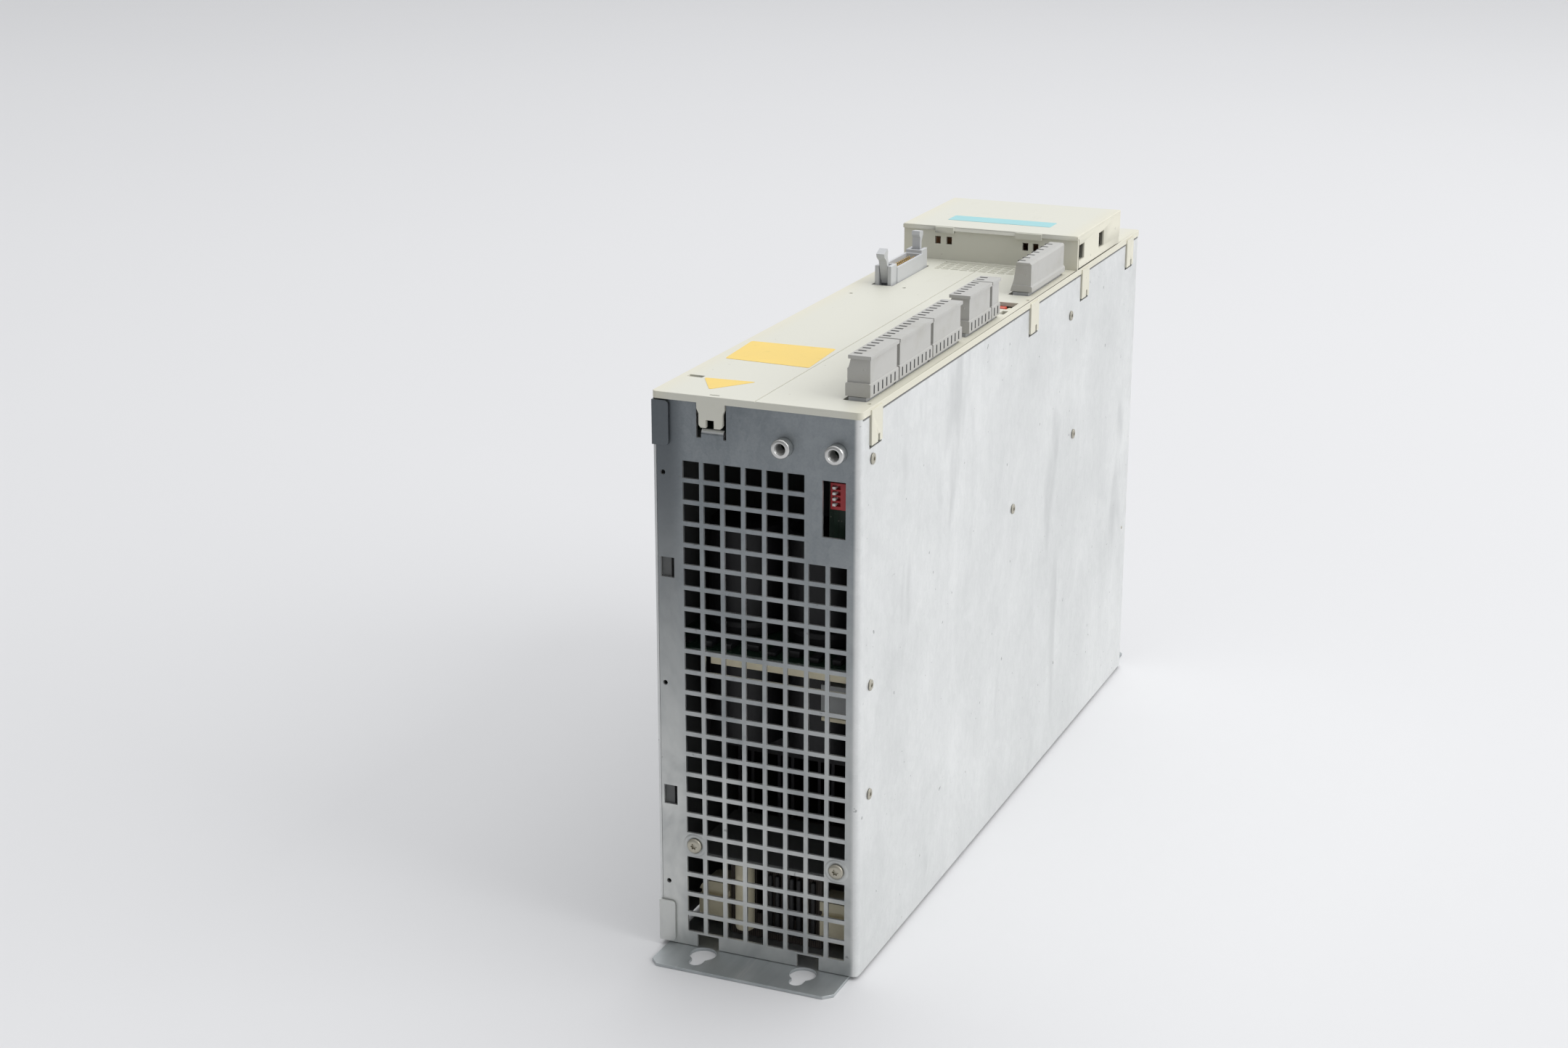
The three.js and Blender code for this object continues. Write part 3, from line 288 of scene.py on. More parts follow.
def moulded_plastic(name, colour, roughness=0.5, dirt=0.10):
    """Moulded plastic: a spark-eroded grain, a slow drift of tone and a little grime."""
    shade = Shade(name)
    grit = shade.noise(1400, 3, 0.6)
    drift = shade.noise(9, 3, 0.55)
    grime = shade.noise(48, 5, 0.68).above(0.60, 0.12)
    base = shade.mix(drift, tinted(colour, 0.955), tinted(colour, 1.03))
    base = shade.mix(grime * dirt, base, tuple(part * stain for part, stain in zip(colour, GRIME_TINT)))
    spread = roughness - 0.05 + 0.08 * grit + 0.05 * grime
    return shade.done(base, spread, 0, shade.bump(grit, GRAIN_DEPTH, 0.45))


def cover_plastic():
    """Aged light beige: warmer towards its long edges, with specks and rub marks; painted shade makes it
    near-black under the lid and on its parts inside the sheet below its top.
    """
    shade = Shade("cover_plastic")
    x, y, z = shade.axes()
    grit = shade.noise(1500, 3, 0.6)
    drift = shade.noise(7, 3, 0.55)
    rubs = shade.noise(70, 5, 0.7, shade.place((1, 0.25, 1))).above(0.64, 0.08)
    specks = shade.noise(420, 2, 0.5).above(0.77, 0.015)
    warm = x.above(44, 6) + x.below(-44, 6)
    base = shade.mix(drift, (0.635, 0.628, 0.548), (0.675, 0.67, 0.592))
    base = shade.mix(0.55 * warm, base, (0.69, 0.655, 0.52))
    base = shade.mix(rubs * 0.14, base, (0.52, 0.50, 0.43))
    base = shade.mix(specks * 0.5, base, (0.27, 0.25, 0.21))
    wall_middle = SHEET_SIDE - 1
    # Painted shade: the space under the lid and the cover's parts inside the sheet below its top are mixed
    # towards near-black.
    bay = shade.band(x, -46.6, 46.6) * z.below(281, 0.05)
    jambs = shade.band(x, 47.35, wall_middle) + shade.band(x, -wall_middle, -47.35)
    shade_under_lid = (bay + jambs) * shade.band(y, 97.5, 176.1) * shade.band(z, 267.6, 283.8)
    within_sheet = shade.band(x, -wall_middle, wall_middle) * shade.band(y, 2 + NEAR_FACE, -2 - NEAR_FACE)
    shade_under_cover = within_sheet * z.below(265.45, 0.05)
    base = shade.mix(0.8 * (shade_under_lid + shade_under_cover), base, (0.05, 0.048, 0.042))
    roughness = 0.47 + 0.09 * grit + 0.08 * rubs
    return shade.done(base, roughness, 0, shade.bump(grit, GRAIN_DEPTH, 0.45), Specular_IOR_Level=0.42)


def plain_metal(name, colour, roughness=0.3, streak=(1, 1, 1)):
    """Plated or drawn metal with handling marks."""
    shade = Shade(name)
    drawn = shade.noise(500, 4, 0.6, shade.place(streak))
    marks = shade.noise(60, 5, 0.65)
    base = shade.mix(marks, tinted(colour, 0.78), tinted(colour, 1.12))
    spread = roughness - 0.06 + 0.12 * drawn + 0.14 * marks
    return shade.done(base, spread, 1, shade.bump(drawn, 0.00003, 0.4))


def circuit_board():
    """Solder mask with fine copper tracks under it and light pads."""
    shade = Shade("circuit_board")
    grid = shade.node(
        "TexBrick", {"offset": 0.5, "squash": 1.0}, Vector=shade.place(), Scale=190, Mortar_Size=0.07)
    pads = shade.cells(330).below(0.16, 0.03)
    tracks = shade.node("SeparateColor", None, grid)
    base = shade.mix(tracks, (0.008, 0.024, 0.014), (0.014, 0.040, 0.023))
    base = shade.mix(pads * 0.5, base, (0.20, 0.19, 0.16))
    return shade.done(base, 0.38 + 0.1 * shade.noise(300), 0, shade.bump(tracks, 0.00004, 0.5))


def capacitor_sleeve():
    """Shrunk black film with fine crinkles along the can."""
    shade = Shade("capacitor_sleeve")
    crinkle = shade.noise(240, 3, 0.6, shade.place((1, 1, 0.3)))
    base = shade.mix(shade.noise(40), (0.006, 0.006, 0.007), (0.016, 0.016, 0.018))
    return shade.done(base, 0.42 + 0.12 * crinkle, 0, shade.bump(crinkle, 0.00015, 0.5))


def laminations():
    """Stacked sheets seen on edge, varnished brown-black."""
    shade = Shade("laminations")
    sheets = shade.node(
        "TexWave", {"wave_type": "BANDS", "bands_direction": "X"},
        Vector=shade.place(), Scale=320, Distortion=0.6, Detail=2)
    base = shade.mix(sheets, (0.035, 0.028, 0.024), (0.115, 0.095, 0.08))
    return shade.done(base, 0.42 + 0.15 * sheets, 0.35, shade.bump(sheets, 0.0002, 0.6))


def label_film(name, colour):
    shade = Shade(name)
    drift = shade.noise(30, 3, 0.5)
    rub = shade.noise(180, 5, 0.7).above(0.63, 0.06)
    base = shade.mix(drift, tinted(colour, 0.93), tinted(colour, 1.05))
    base = shade.mix(rub * 0.22, base, tinted(colour, 0.72))
    return shade.done(base, 0.36 + 0.12 * drift, 0, shade.bump(shade.noise(700), 0.00003, 0.3))


def pale_floor():
    shade = Shade("pale_floor")
    return shade.done(shade.mix(shade.noise(0.8), (0.685, 0.685, 0.693), (0.71, 0.71, 0.717)), 0.7)


LOOKS = {
    "galvanised_sheet": galvanised_sheet(),
    "mounting_plate": plate_steel(),
    "beige_plastic": cover_plastic(),
    "grey_plug_plastic": moulded_plastic("plug_plastic", (0.46, 0.455, 0.43), 0.46, dirt=0.2),
    "light_grey_plastic": moulded_plastic("header_plastic", (0.56, 0.57, 0.58), 0.44),
    "zinc_screws": plain_metal("zinc_plate", (0.50, 0.475, 0.40), 0.34),
    "nickel_plated": plain_metal("nickel_plate", (0.66, 0.66, 0.645), 0.24),
    "copper_bars": plain_metal("copper", (0.72, 0.40, 0.25), 0.30, (0.05, 1, 1)),
    # Painted shade: the heatsink's aluminium is kept dark so the fins behind the grille read as the shaded
    # interior.
    "aluminium": plain_metal("aluminium", (0.16, 0.16, 0.165), 0.5, (1, 0.04, 1)),
    "circuit_board": circuit_board(),
    "black_plastic": moulded_plastic("black_plastic", (0.022, 0.022, 0.024), 0.42),
    "red_plastic": moulded_plastic("red_plastic", (0.42, 0.022, 0.028), 0.36),
    "white_plastic": moulded_plastic("white_plastic", (0.78, 0.78, 0.76), 0.38),
    "cream_plastic": moulded_plastic("cream_plastic", (0.74, 0.68, 0.50), 0.5, dirt=0.25),
    "grey_plastic": moulded_plastic("grey_plastic", (0.30, 0.31, 0.31), 0.48),
    "choke_core": laminations(),
}

CAN_SLEEVE = capacitor_sleeve()
LABEL_YELLOW = label_film("label_yellow", (0.85, 0.605, 0.13))
LABEL_TEAL = label_film("label_teal", (0.30, 0.60, 0.63))
GOLD = plain_metal("gold_flash", (0.86, 0.62, 0.26), 0.26)
SERVICE_RED = moulded_plastic("service_red", (0.60, 0.085, 0.045), 0.36)
# Painted shade: a near-black plastic for blocks that stand for the shade inside holes.
HOLE_SHADE = moulded_plastic("painted_hole_shade", (0.015, 0.015, 0.016), 0.7)

slot_of = {entry["node"]: entry["material_slot"] for entry in frame["record"]["subparts"]}


# ------------------------------------------------------------------ shaping pieces

SHARP_CORNER = math.radians(28)
AXIS_TURNS = {
    "Z": Matrix.Identity(3),
    "-Z": Matrix.Rotation(math.pi, 3, "X"),
    "-Y": Matrix.Rotation(math.pi / 2, 3, "X"),
    "Y": Matrix.Rotation(-math.pi / 2, 3, "X"),
    "X": Matrix.Rotation(math.pi / 2, 3, "Y"),
    "-X": Matrix.Rotation(-math.pi / 2, 3, "Y"),
}


def finished(name, bm, look, body=HOUSING, replaced=(), crease=35):
    """Turns a bmesh in millimetres into a piece that rides on a body."""
    bmesh.ops.scale(bm, vec=(MM, MM, MM), verts=bm.verts)
    mesh = bpy.data.meshes.new(name)
    bm.to_mesh(mesh)
    bm.free()
    mesh.shade_smooth()
    mesh.set_sharp_from_angle(angle=math.radians(crease))
    piece = bpy.data.objects.new(name, mesh)
    bpy.context.scene.collection.objects.link(piece)
    mesh.materials.append(look)
    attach(piece, body)
    if replaced:
        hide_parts(*replaced)
    return piece


def block(bm, low, high, edge=0.0, segments=2):
    """A box between two corners, its edges rounded."""
    low, high = Vector(low), Vector(high)
    verts = bmesh.ops.create_cube(bm, size=1)["verts"]
    bmesh.ops.scale(bm, vec=high - low, verts=verts)
    bmesh.ops.translate(bm, vec=(low + high) / 2, verts=verts)
    if edge:
        edges = list({e for v in verts for e in v.link_edges})
        bmesh.ops.bevel(
            bm, geom=edges, offset=edge, segments=segments, affect="EDGES", profile=0.5,
            material=-1, clamp_overlap=True)


def turned(bm, profile, place=(0, 0, 0), axis="Z", steps=40):
    """A profile of radius and height pairs spun about an axis and moved to its place."""
    chain = [bm.verts.new((radius, 0, height)) for radius, height in profile]
    edges = [bm.edges.new(pair) for pair in zip(chain, chain[1:])]
    made = bmesh.ops.spin(
        bm, geom=chain + edges, cent=(0, 0, 0), axis=(0, 0, 1), dvec=(0, 0, 0),
        angle=2 * math.pi, steps=steps, use_merge=True, use_duplicate=False)
    verts = reachable(chain + [g for g in made["geom_last"] if isinstance(g, bmesh.types.BMVert)])
    bmesh.ops.remove_doubles(bm, verts=verts, dist=1e-4)
    verts = [v for v in verts if v.is_valid]
    bmesh.ops.rotate(bm, cent=(0, 0, 0), matrix=AXIS_TURNS[axis], verts=verts)
    bmesh.ops.translate(bm, vec=place, verts=verts)
    faces = list({f for v in verts for f in v.link_faces})
    bmesh.ops.recalc_face_normals(bm, faces=faces)
    return verts


def reachable(seeds):
    """All vertices joined to the given ones."""
    found = {v for v in seeds if v.is_valid}
    waiting = list(found)
    while waiting:
        vert = waiting.pop()
        for edge in vert.link_edges:
            other = edge.other_vert(vert)
            if other not in found:
                found.add(other)
                waiting.append(other)
    return list(found)


def merged_copy(node):
    """A CAD node's mesh in millimetres, merged, with its flat faces made whole."""
    bm = bmesh.new()
    bm.from_mesh(nodes[node].data)
    bmesh.ops.scale(bm, vec=(1 / MM,) * 3, verts=bm.verts)
    bmesh.ops.remove_doubles(bm, verts=bm.verts, dist=1e-3)
    bmesh.ops.dissolve_limit(
        bm, angle_limit=math.radians(0.4), verts=bm.verts, edges=bm.edges, use_dissolve_boundaries=False)
    return bm


def softened(node, width, rims=(), body=HOUSING):
    """A CAD node's copy with its sharp edges rounded; a rim is a test on an edge and its own radius."""
    bm = merged_copy(node)
    for test, radius in rims:
        chosen = [e for e in bm.edges if len(e.link_faces) == 2 and test(e)]
        bmesh.ops.bevel(
            bm, geom=chosen, offset=radius, segments=4, affect="EDGES", profile=0.5, material=-1,
            clamp_overlap=True)
    sharp = [e for e in bm.edges if len(e.link_faces) == 2 and e.calc_face_angle() > SHARP_CORNER]
    bmesh.ops.bevel(
        bm, geom=sharp, offset=width, segments=2, affect="EDGES", profile=0.5, material=-1,
        clamp_overlap=True)
    slot = slot_of[node]
    piece = finished(node + "_shaped", bm, LOOKS[slot], body, [node])
    flats = piece.modifiers.new("flats", "WEIGHTED_NORMAL")
    flats.keep_sharp = True
    return piece


# ------------------------------------------------------------------ carried-over CAD nodes

for name, node in nodes.items():
    node.data.materials.clear()
    node.data.materials.append(LOOKS[slot_of[name]])

body_of = {
    node: body
    for body, members in frame["record"]["behaviour"]["bodies"].items()
    for node in members
}


def middle(node):
    low, high = spot(node)
    return (low + high) / 2


# ------------------------------------------------------------------ front cover and lid

NEAR = spot("main_shell")[0].y
COVER_TOP = spot("dc_link_lid")[0].z - 0.8
cover_low, cover_high = spot("front_cover")
lid_low, lid_high = spot("dc_link_lid")


def outer_top_edge(height, half_width, y_low, y_high, reach=3.2):
    """Tests for the upper outer edge of a moulding."""

    def test(edge):
        a, b = (v.co for v in edge.verts)
        if abs(a.z - height) > 0.02 or abs(b.z - height) > 0.02:
            return False
        flat = sorted(abs(face.normal.z) for face in edge.link_faces)
        if flat[0] > 0.2 or flat[1] < 0.9:
            return False
        side = min(edge.link_faces, key=lambda face: abs(face.normal.z))
        middle = (a + b) / 2
        off_axis = Vector((middle.x, middle.y - (y_low + y_high) / 2, 0))
        if side.normal.dot(off_axis) < 0:
            return False
        return abs(middle.x) > half_width - reach or middle.y < y_low + reach or middle.y > y_high - reach

    return test


softened("front_cover", 0.28, rims=[
    (outer_top_edge(COVER_TOP, 49.4, cover_low.y, cover_high.y, 1.6), 1.3)])
softened("dc_link_lid", 0.3, body="dc_link_lid", rims=[
    (outer_top_edge(lid_high.z, lid_high.x, lid_low.y + 0.5, lid_high.y, 1.2), 1.3)])


FILM_THICKNESS = 0.12


def sticker(name, corners, base, look, body=HOUSING, round_by=1.2):
    """A thin film with rounded corners."""
    bm = bmesh.new()
    face = bm.faces.new([bm.verts.new((x, y, base)) for x, y in corners])
    bmesh.ops.bevel(
        bm, geom=list(face.verts), offset=round_by, segments=5, affect="VERTICES", profile=0.5, material=-1)
    face = bm.faces[:][0]
    raised = bmesh.ops.extrude_face_region(bm, geom=[face])["geom"]
    bmesh.ops.translate(
        bm, vec=(0, 0, FILM_THICKNESS), verts=[g for g in raised if isinstance(g, bmesh.types.BMVert)])
    bmesh.ops.recalc_face_normals(bm, faces=bm.faces)
    finished(name, bm, look, body)


sticker(
    "note_label", [(-45.7, NEAR + 100), (-43.5, NEAR + 64.6), (-1.2, NEAR + 62.7), (-3.2, NEAR + 100.6)],
    COVER_TOP, LABEL_YELLOW)
sticker(
    "triangle_label", [(-37.2, NEAR + 28.3), (-26.8, NEAR + 10.5), (-12.7, NEAR + 29.8)],
    COVER_TOP, LABEL_YELLOW, round_by=1.5)
sticker(
    "lid_stripe", [(-30, NEAR + 331), (28, NEAR + 331), (28, NEAR + 344), (-30, NEAR + 344)],
    lid_high.z, LABEL_TEAL, "dc_link_lid", 0.6)

grid = bmesh.new()
rib_low, rib_high = NEAR + 289.6, NEAR + 307.6
for step in range(9):
    x = -20 + step * 5.2
    block(grid, (x - 0.5, rib_low, COVER_TOP - 0.7), (x + 0.5, rib_high, COVER_TOP - 0.04), 0.12, 1)
finished("vent_cross_ribs", grid, LOOKS["beige_plastic"])


# ------------------------------------------------------------------ sheet metal and fasteners

softened("left_panel", 0.22)
softened("back_plate", 0.22)


def screw_shape(bm, place, axis, radius, height, shank, length, lobes=6):
    """A low domed screw with a lobed socket; two lobes make a slot."""
    socket, depth = radius * 0.36, height * 0.75
    profile = [
        (0, height - depth), (socket, height - depth), (socket, height), (radius * 0.62, height),
        (radius * 0.86, height * 0.86), (radius * 0.97, height * 0.55), (radius, height * 0.2), (radius, 0),
        (shank, 0), (shank, -length), (0, -length),
    ]
    verts = turned(bm, profile, steps=36)
    for vert in verts:
        reach = math.hypot(vert.co.x, vert.co.y)
        if abs(reach - socket) < 1e-3:
            swell = 1 + 0.24 * math.cos(lobes * math.atan2(vert.co.y, vert.co.x))
            vert.co.x *= swell
            vert.co.y *= swell
    bmesh.ops.rotate(bm, cent=(0, 0, 0), matrix=AXIS_TURNS[axis], verts=verts)
    bmesh.ops.translate(bm, vec=place, verts=verts)


def screw_piece(name, place, axis, radius, height, shank, length, replaced=()):
    bm = bmesh.new()
    screw_shape(bm, place, axis, radius, height, shank, length)
    finished(name, bm, LOOKS["zinc_screws"], replaced=replaced)


RING_PROFILE = [(3.9, -0.4), (3.9, 0.25), (4.5, 0.45), (5.2, 0.4), (5.75, 0.02), (5.75, -0.4), (3.9, -0.4)]
for side in ("left", "right"):
    node = "face_screw_" + side
    centre = middle(node)
    screw_piece(node + "_shaped", (centre.x, NEAR - 0.3, centre.z), "-Y", 3.6, 1.3, 1.9, 5, [node])
    dimple = bmesh.new()
    turned(dimple, RING_PROFILE, (centre.x, NEAR, centre.z), "-Y", 48)
    finished("screw_dimple_" + side, dimple, LOOKS["galvanised_sheet"])

left_screws = bmesh.new()
for number in range(1, 7):
    node = f"side_screw_{number}"
    centre = middle(node)
    screw_piece(node + "_shaped", (SHEET_SIDE + 0.3, centre.y, centre.z), "X", 2.6, 0.5, 1.4, 3.3, [node])
    screw_shape(left_screws, (-SHEET_SIDE - 0.02, centre.y, centre.z), "-X", 2.6, 0.5, 1.0, 0.9)
finished("left_screws", left_screws, LOOKS["zinc_screws"])

small_rivet = bmesh.new()
turned(
    small_rivet, [(0, 0.35), (0.7, 0.25), (1.0, 0), (1.0, -0.4), (0, -0.4)],
    (SHEET_SIDE, NEAR + 425.2, 91.4), "X", 20)
finished("side_rivet", small_rivet, LOOKS["zinc_screws"])

BUSH_PROFILE = [
    (2.5, 4.55), (2.75, 4.88), (3.55, 4.9), (4.15, 4.6), (4.4, 4.15), (4.4, 0.3), (3.2, 0.3), (3.2, -3),
    (2.5, -3),
]
THREAD = [
    point for turn_number in range(10)
    for point in ((2.62, 4.0 - turn_number * 0.7), (2.36, 3.65 - turn_number * 0.7))
]
for side in ("left", "right"):
    node = "threaded_bush_" + side
    centre = middle(node)
    bush = bmesh.new()
    turned(bush, BUSH_PROFILE + THREAD[::-1] + BUSH_PROFILE[:1], (centre.x, NEAR, centre.z), "-Y", 48)
    finished(node + "_shaped", bush, LOOKS["nickel_plated"], replaced=[node])


# ------------------------------------------------------------------ terminal plugs and headers

PLUGS = {
    "a": (6, POLE_PITCH), "b": (8, POLE_PITCH), "c": (7, POLE_PITCH),
    "d": (6, POLE_PITCH), "e": (2, POLE_PITCH), "f": (7, POWER_PITCH),
}
PIP_PROFILE = [(0, 0.22), (0.35, 0.16), (0.5, 0), (0.5, -0.3), (0, -0.3)]
for letter, (poles, pitch) in PLUGS.items():
    plug = "terminal_plug_" + letter
    has_comb = pitch == POLE_PITCH
    softened(plug, 0.22, body=plug)
    softened("terminal_header_" + letter, 0.2)
    low, high = spot(plug)
    centre = (low + high) / 2
    rows = [centre.y + (pole - (poles - 1) / 2) * pitch for pole in range(poles)]
    screws = bmesh.new()
    hole_shadow_blocks = bmesh.new()
    mouth_x, mouth_top = (centre.x - 3.72, centre.x + 0.12), high.z - 0.05
    comb_x, comb_foot = (high.x - 1.38, high.x - 0.12), low.z + 0.85
    # Painted shade: dark blocks fill each wire entry and comb slot, standing for the shade inside them.
    for y in rows:
        screw_shape(screws, (low.x + 1.35, y, high.z - 8.6), "-X", 1.5, 0.5, 1.2, 0.7, lobes=2)
        block(hole_shadow_blocks, (mouth_x[0], y - 0.84, mouth_top - 3), (mouth_x[1], y + 0.84, mouth_top), 0.2, 1)
        if has_comb:
            block(hole_shadow_blocks, (comb_x[0], y - 0.56, comb_foot), (comb_x[1], y + 0.56, comb_foot + 3.9), 0.05, 1)
    finished(f"pole_screws_{letter}", screws, LOOKS["nickel_plated"], plug)
    finished(f"wire_hole_shadows_{letter}", hole_shadow_blocks, HOLE_SHADE, plug)
    pip = bmesh.new()
    end_face = low.y + (1.1 if has_comb else 0.4)
    turned(pip, PIP_PROFILE, (centre.x + 2.4, end_face, high.z - 6.4), "-Y", 16)
    finished(f"end_pip_{letter}", pip, LOOKS["grey_plug_plastic"], plug)


# ------------------------------------------------------------------ ribbon header

softened("ribbon_header", 0.25)
for end in ("near", "far"):
    softened("ejector_latch_" + end, 0.28, body="ejector_latch_" + end)
head_low, head_high = spot("ribbon_header")
pins = bmesh.new()
row_middle = (head_low.x + head_high.x) / 2
for pair in range(13):
    y = (head_low.y + head_high.y) / 2 + (pair - 6) * HEADER_PITCH
    for x in (row_middle - HEADER_PITCH / 2, row_middle + HEADER_PITCH / 2):
        block(pins, (x - 0.32, y - 0.32, COVER_TOP - 0.9), (x + 0.32, y + 0.32, COVER_TOP + 7.2), 0.14, 1)
finished("ribbon_pins", pins, GOLD)


# ------------------------------------------------------------------ coding switch

softened("coding_switch", 0.15)
for node in sorted(nodes):
    if node.startswith("coding_lever"):
        softened(node, 0.12, body=body_of[node])


# ------------------------------------------------------------------ direct current bars

softened("busbar_block", 0.4)
for pole in ("plus", "minus"):
    softened("busbar_" + pole, 0.3)
    node = "busbar_screw_" + pole
    centre = middle(node)
    bar_top = spot("busbar_" + pole)[1].z
    screw_piece(node + "_shaped", (centre.x, centre.y, bar_top + 0.3), "Z", 3.8, 2.3, 2, 8, [node])
    screw_piece(node + "_left", (-centre.x, centre.y, bar_top), "Z", 3.8, 2.3, 2, 2.8)


# ------------------------------------------------------------------ electronics behind the grille

for number in range(1, 5):
    node = f"capacitor_{number}"
    low, high = spot(node)
    centre = middle(node)
    radius = (high.x - low.x) / 2
    tall = high.z - low.z
    can = bmesh.new()
    profile = [
        (0, 0.6), (radius - 3, 0.6), (radius - 2.6, 0), (radius - 0.6, 0), (radius, 0.7), (radius, 4.4),
        (radius - 0.7, 5.2), (radius - 1.1, 6.4), (radius - 0.7, 7.6), (radius, 8.4), (radius, tall - 1.4),
        (radius - 0.5, tall - 0.4), (radius - 1.4, tall), (radius - 2.4, tall - 0.5), (0, tall - 0.5),
    ]
    up = centre.z > spot("power_board")[0].z
    base = (centre.x, centre.y, low.z if up else high.z)
    turned(can, profile, base, "Z" if up else "-Z", 56)
    finished(node + "_shaped", can, CAN_SLEEVE, replaced=[node])


def scattered_parts(name, look, count, x_span, y_span, base, tall, direction=1):
    """Small rounded parts standing on a board, kept apart by their own grid places."""
    bm = bmesh.new()
    columns = 8
    rows = math.ceil(count / columns)
    width = (x_span[1] - x_span[0]) / columns
    depth = (y_span[1] - y_span[0]) / rows
    for index in range(count):
        x = x_span[0] + (index % columns + 0.5) * width
        y = y_span[0] + (index // columns + 0.5) * depth
        half_x = width * random.uniform(0.16, 0.40)
        half_y = depth * random.uniform(0.16, 0.40)
        height = random.uniform(*tall)
        ends = sorted((base, base + direction * height))
        block(bm, (x - half_x, y - half_y, ends[0]), (x + half_x, y + half_y, ends[1]), 0.4, 2)
    finished(name, bm, look)


def standing_parts(name, parts, base, edge, look):
    """Parts of given places and sizes standing on a board."""
    bm = bmesh.new()
    for x, y, wide, deep, tall in parts:
        block(bm, (x - wide / 2, y - deep / 2, base), (x + wide / 2, y + deep / 2, base + tall), edge, 2)
    finished(name, bm, look)


BLACK = LOOKS["black_plastic"]
board_low, board_high = spot("power_board")
control_low, control_high = spot("control_board")
scattered_parts("power_parts_below", BLACK, 24, (-44, 44), (-150, -92), board_low.z, (4, 20), -1)
scattered_parts("power_parts_above", BLACK, 24, (-44, 44), (-150, -60), board_high.z, (3, 24))
scattered_parts("power_parts_edge", BLACK, 8, (-44, 40), (-212, -197), board_high.z, (1.2, 3.5))
scattered_parts("control_parts", BLACK, 40, (-44, 44), (-196, -70), control_low.z, (1.5, 9), -1)
standing_parts("service_parts", [
    (36.4, -3.4, 4.2, 5.2, 15.6), (41.2, -2.8, 3.6, 4.4, 14.4), (37.2, 3.6, 5.2, 4.6, 16),
], control_high.z, 0.5, SERVICE_RED)
standing_parts("service_parts_pale", [
    (42.0, 3.8, 3.2, 4.2, 15.4), (34.1, 0.4, 1.4, 5.4, 13),
], control_high.z, 0.4, LOOKS["cream_plastic"])

for node in ("choke_cheek_left", "choke_cheek_right"):
    softened(node, 0.5)
for node in ("board_guide_strip", "air_baffle", "rectifier_module", "choke_bracket"):
    softened(node, 0.25)

baffle_low, baffle_high = spot("air_baffle")
ledge = bmesh.new()
block(
    ledge, (baffle_low.x + 0.4, baffle_low.y - 0.5, baffle_low.z - 3.2),
    (baffle_high.x, baffle_low.y + 6, baffle_low.z - 1.4), 0.3, 2)
block(
    ledge, (baffle_high.x - 4, baffle_low.y, baffle_low.z - 2),
    (baffle_high.x - 1, baffle_low.y + 3, baffle_low.z + 4), 0.3, 2)
finished("baffle_ledge", ledge, LOOKS["cream_plastic"])

core_low = spot("choke_core")[0]
winding = bmesh.new()
for column in range(7):
    coil_low = core_low + Vector((19.2 + column * 3.6, -2.4, 4))
    block(winding, coil_low, coil_low + Vector((2.4, 2.35, 30)), 0.9, 3)
finished("choke_winding", winding, LOOKS["black_plastic"])

stalk = bmesh.new()
low, high = spot("suppressor_capacitor")
centre = (low + high) / 2
tall = high.z - low.z
turned(stalk, [
    (0, 0), (3.4, 0), (4.2, 0.5), (4.5, 1.6), (4.5, tall - 1.6), (4.2, tall - 0.5), (3.4, tall), (0, tall),
], (centre.x, centre.y, low.z), "Z", 32)
finished(
    "suppressor_capacitor_shaped", stalk, LOOKS["cream_plastic"],
    replaced=["suppressor_capacitor"])


# ------------------------------------------------------------------ fan

BLADES = 7
FAN_SCREW_OFFSET = 35.7

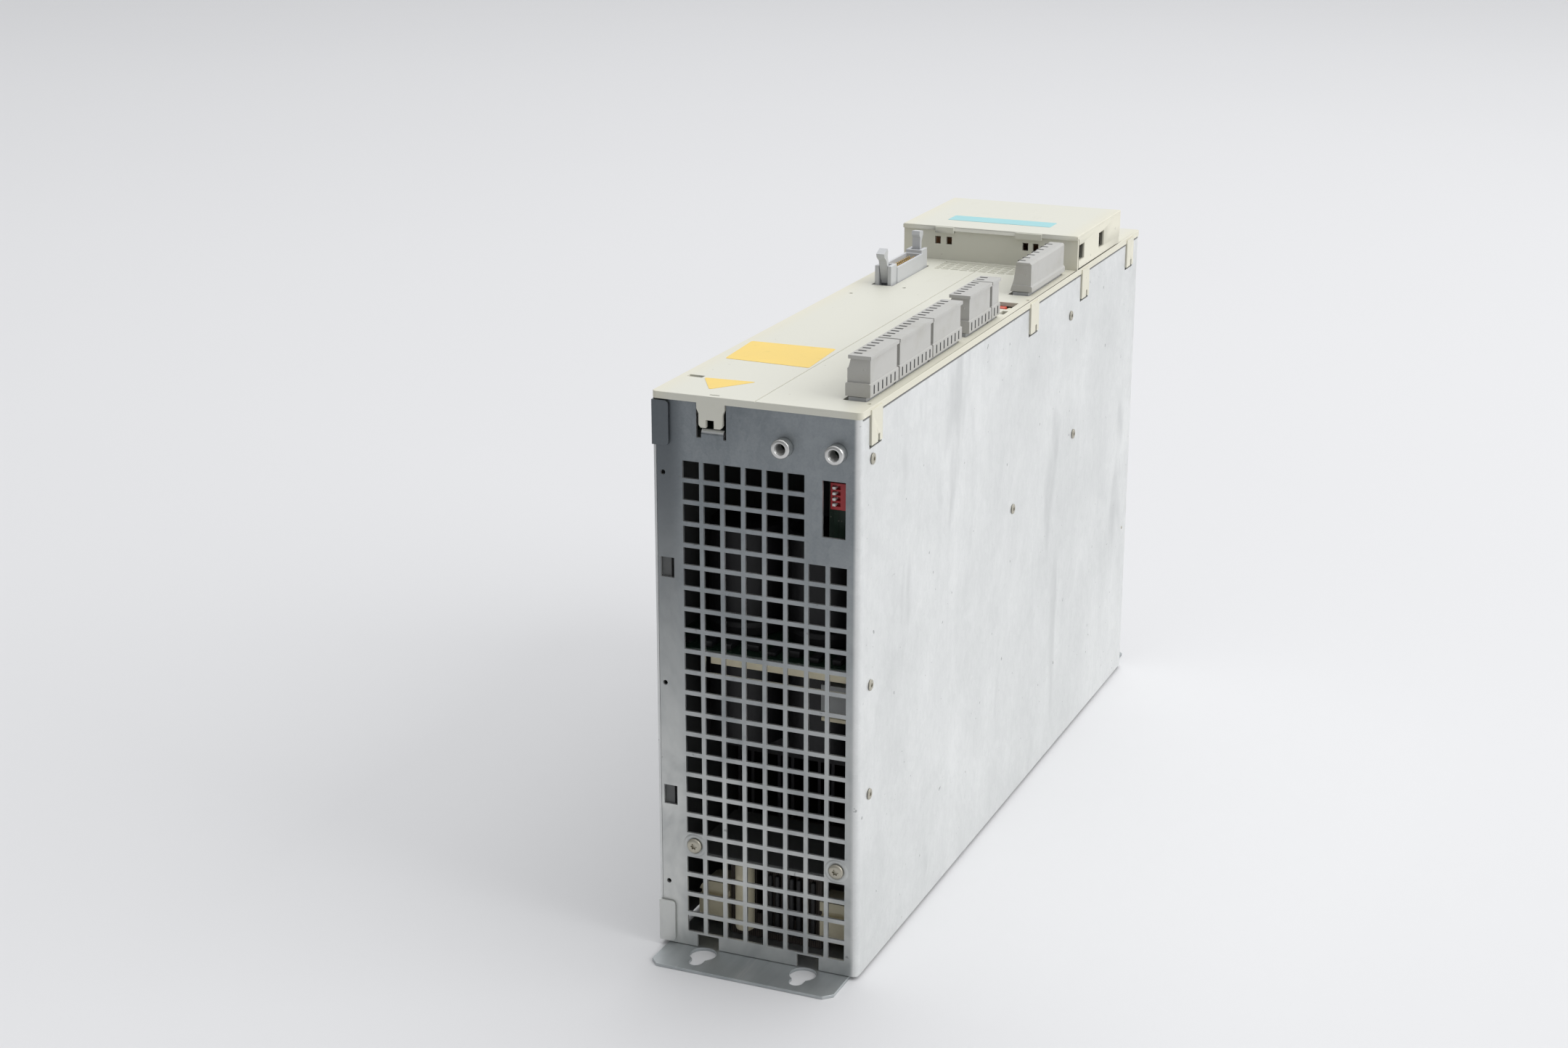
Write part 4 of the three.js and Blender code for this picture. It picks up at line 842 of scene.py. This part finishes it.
softened("fan_frame", 0.5)
rotor_low, rotor_high = spot("fan_rotor")
fan_middle = middle("fan_frame")
rotor_depth = rotor_high.y - rotor_low.y
rotor = bmesh.new()
turned(rotor, [
    (0, 0), (14.0, 0), (15, 0.8), (15, rotor_depth - 1.6), (14.2, rotor_depth - 0.4), (13, rotor_depth),
    (6, rotor_depth), (5.6, rotor_depth - 0.3), (0, rotor_depth - 0.3),
], steps=48)
for blade in range(BLADES):
    verts = bmesh.ops.create_grid(rotor, x_segments=8, y_segments=6, size=0.5)["verts"]
    for vert in verts:
        along, across = vert.co.x + 0.5, vert.co.y
        reach = 14.6 + along * 20.6
        pitch = math.radians(52 - 24 * along)
        chord = (15 + 9 * along) * across
        sweep = 0.30 * along + chord * math.cos(pitch) / reach
        vert.co = Vector((
            reach * math.cos(sweep), reach * math.sin(sweep),
            rotor_depth / 2 + chord * math.sin(pitch) * 0.86 + 1.4 * (0.25 - across * across)))
    faces = list({f for v in verts for f in v.link_faces})
    bmesh.ops.rotate(
        rotor, cent=(0, 0, 0), matrix=Matrix.Rotation(blade * 2 * math.pi / BLADES, 3, "Z"), verts=verts)
    bmesh.ops.solidify(rotor, geom=faces, thickness=1.3)
bmesh.ops.rotate(rotor, cent=(0, 0, 0), matrix=AXIS_TURNS["Y"], verts=rotor.verts)
bmesh.ops.translate(rotor, vec=(fan_middle.x, rotor_low.y, fan_middle.z), verts=rotor.verts)
bmesh.ops.recalc_face_normals(rotor, faces=rotor.faces)
finished("fan_rotor_shaped", rotor, BLACK, "fan_rotor", ["fan_rotor"])

softened("fan_guard", 0.2)
guard_face = spot("fan_guard")[1].y
fan_screws = bmesh.new()
for u in (-FAN_SCREW_OFFSET, FAN_SCREW_OFFSET):
    for v in (-FAN_SCREW_OFFSET, FAN_SCREW_OFFSET):
        screw_shape(fan_screws, (fan_middle.x + u, guard_face, fan_middle.z + v), "Y", 3.4, 1.2, 1.8, 0.9)
finished("fan_screws", fan_screws, LOOKS["zinc_screws"])


# ------------------------------------------------------------------ stage

floor_mesh = bmesh.new()
bmesh.ops.create_grid(floor_mesh, x_segments=1, y_segments=1, size=14)
floor_data = bpy.data.meshes.new("floor")
floor_mesh.to_mesh(floor_data)
floor_mesh.free()
floor = bpy.data.objects.new("floor", floor_data)
floor_data.materials.append(pale_floor())
bpy.context.scene.collection.objects.link(floor)

world = bpy.data.worlds.new("world")
bpy.context.scene.world = world
world.use_nodes = True
sky = world.node_tree
background = sky.nodes["Background"]
background.inputs["Color"].default_value = (0.97, 0.98, 1, 1)
direction = sky.nodes.new("ShaderNodeTexCoord")
facing = sky.nodes.new("ShaderNodeVectorMath")
facing.operation = "DOT_PRODUCT"
facing.inputs[1].default_value = (0.50, 0.62, 0.55)
sky.links.new(direction.outputs["Generated"], facing.inputs[0])
strength = sky.nodes.new("ShaderNodeMapRange")
for key, value in (("From Min", -0.75), ("From Max", 0.75), ("To Min", 0.16), ("To Max", 0.95)):
    strength.inputs[key].default_value = value
sky.links.new(facing.outputs["Value"], strength.inputs["Value"])
sky.links.new(strength.outputs["Result"], background.inputs["Strength"])
